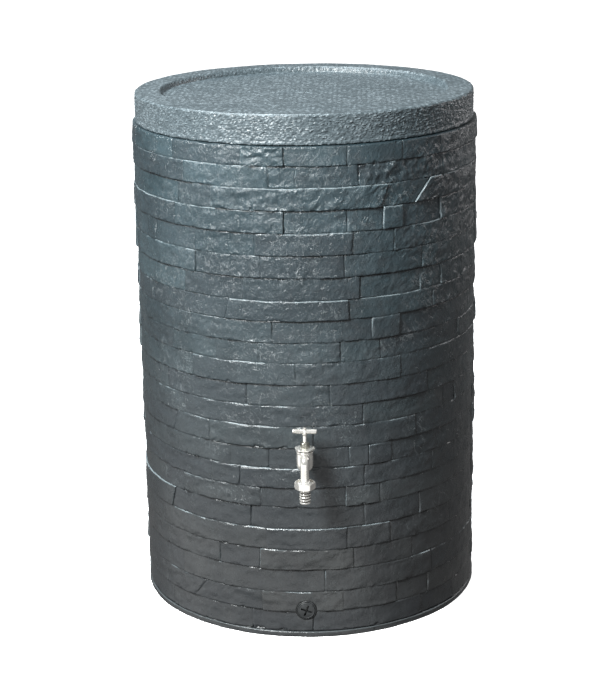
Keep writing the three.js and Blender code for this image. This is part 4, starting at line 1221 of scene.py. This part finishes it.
def make_camera():
    """The photograph's point of view, found from the outlines of the lid, wall and foot."""
    camera = bpy.data.objects.new("camera", bpy.data.cameras.new("camera"))
    bpy.context.scene.collection.objects.link(camera)
    heading, pitch, roll = math.radians(-2.0), math.radians(16.606), math.radians(-0.943)
    ahead = math.cos(pitch)
    look = Vector((math.sin(heading) * ahead, math.cos(heading) * ahead, -math.sin(pitch)))
    side = look.cross(Vector((0, 0, 1))).normalized()
    over = side.cross(look)
    right = side * math.cos(roll) + over * math.sin(roll)
    up = over * math.cos(roll) - side * math.sin(roll)
    turn = Matrix((right, up, -look)).transposed()
    camera.matrix_world = Matrix.Translation(CAMERA_PLACE) @ turn.to_4x4()
    camera.data.lens = CAMERA_LENS
    camera.data.sensor_width = 36
    camera.data.clip_end = 200
    bpy.context.scene.camera = camera


def soft_box(name, place, target, size, power, tint):
    """A round lamp that points at the target, with its size in metres and power in watts."""
    lamp = bpy.data.lights.new(name, "AREA")
    lamp.shape = "DISK"
    lamp.size = size
    lamp.energy = power
    lamp.color = tint
    made = bpy.data.objects.new(name, lamp)
    made.location = place
    made.rotation_euler = (Vector(target) - Vector(place)).to_track_quat("-Z", "Y").to_euler()
    bpy.context.scene.collection.objects.link(made)


def make_light():
    """Soft boxes high on the left, overhead and behind on the right, and a dim room with a
    white floor that shines from the front left. The camera sees plain white."""
    world = bpy.data.worlds.new("studio")
    bpy.context.scene.world = world
    g = Graph(world, "Background", "Generated")
    up = g.axis("Z")
    inputs = {0: g.place, 1: WHITE_FLOOR_SIDE}
    towards = g.node("ShaderNodeVectorMath", inputs, operation="DOT_PRODUCT").outputs["Value"]
    near = g.ranged(up, -0.04, -0.12, 0, WHITE_FLOOR, "SMOOTHSTEP")
    far = g.ranged(up, -0.55, -0.36, 0, 1, "SMOOTHSTEP")
    side = g.ranged(towards, 0.1, 0.35, 0, 1, "SMOOTHSTEP")
    shine = g.product(side, g.product(near, far))
    room = g.ranged(up, 0.35, 0.7, ROOM, CEILING, "SMOOTHSTEP")
    seen = g.node("ShaderNodeLightPath").outputs["Is Camera Ray"]
    lit = g.math("ADD", shine, room)
    g.finish(Color=(1, 1, 1), Strength=g.math("MAXIMUM", lit, seen))
    soft_box("key", (-1.55, -2.25, 2.55), (0, 0, 0.6), 1.15, 305, (0.97, 1.0, 1.0))
    soft_box("overhead", (-0.6, 0.6, 3.0), (0, 0, 0.8), 1.5, 75, (0.85, 0.95, 1.0))
    soft_box("rim", (2.4, 1.3, 1.2), (0, 0, 0.5), 1.0, 13, (1.0, 0.97, 0.98))
    bpy.context.scene.view_settings.view_transform = "Standard"


def make_floor():
    """A plain pale floor that goes on to the horizon, just below the barrel's foot."""
    low, high = -0.6, -0.1
    profile = [(0, low), (FLOOR_RADIUS, low), (FLOOR_RADIUS, high), (0, high)]
    mesh = mesh_of("floor", *revolve(profile, 96))
    floor = object_of("floor", mesh)
    g = material_graph("floor_paint")
    tint = g.mixed(g.ranged(g.noise(3, 3, 0.5), 0.3, 0.7), (0.93, 0.93, 0.93), (0.95, 0.95, 0.95))
    g.finish(Emission_Color=(1.0, 1.0, 1.0), Emission_Strength=FLOOR_GLOW)
    paint = g.finish(Base_Color=tint, Roughness=0.9, Specular_IOR_Level=0.1)
    mesh.materials.append(paint)
    floor.visible_diffuse = False
    floor.visible_glossy = False


make_camera()
make_light()
make_floor()
make_tank(slate_plastic())
make_lid(lid_plastic())
shine, dull, yellow, black = chrome(), dull_chrome(), brass(), black_plastic()
make_tap_body(shine)
make_tap_threads(shine)
make_bonnet(shine)
make_gland_nut(dull)
make_spindle(shine)
make_tbar(shine)
make_handle_screw(shine)
make_union_nut(shine)
make_hose_tail(shine)
make_bush(black)
make_plug(black)
tap_place, drain_place = (TAP_X, -TAP_PAD_REACH, TAP_Z), (0, -DRAIN_PAD_REACH, DRAIN_Z)
backnut("tap_backnut_hexagon", TAP_HOLE, 36, -10.9, tap_place, yellow, "brass", "tap_backnut")
drain_look = (black, "black_plastic", "drain_backnut")
backnut("drain_backnut_hexagon", DRAIN_HOLE, 40, -8.1, drain_place, *drain_look)
finish_carried_over(["jumper_valve"], yellow)
SEALS = ["bonnet_seal", "gland_packing", "valve_washer", "tail_washer", "tap_outer_seal"]
SEALS += ["tap_inner_seal", "drain_bush_seal", "plug_seal"]
finish_carried_over(SEALS, rubber())
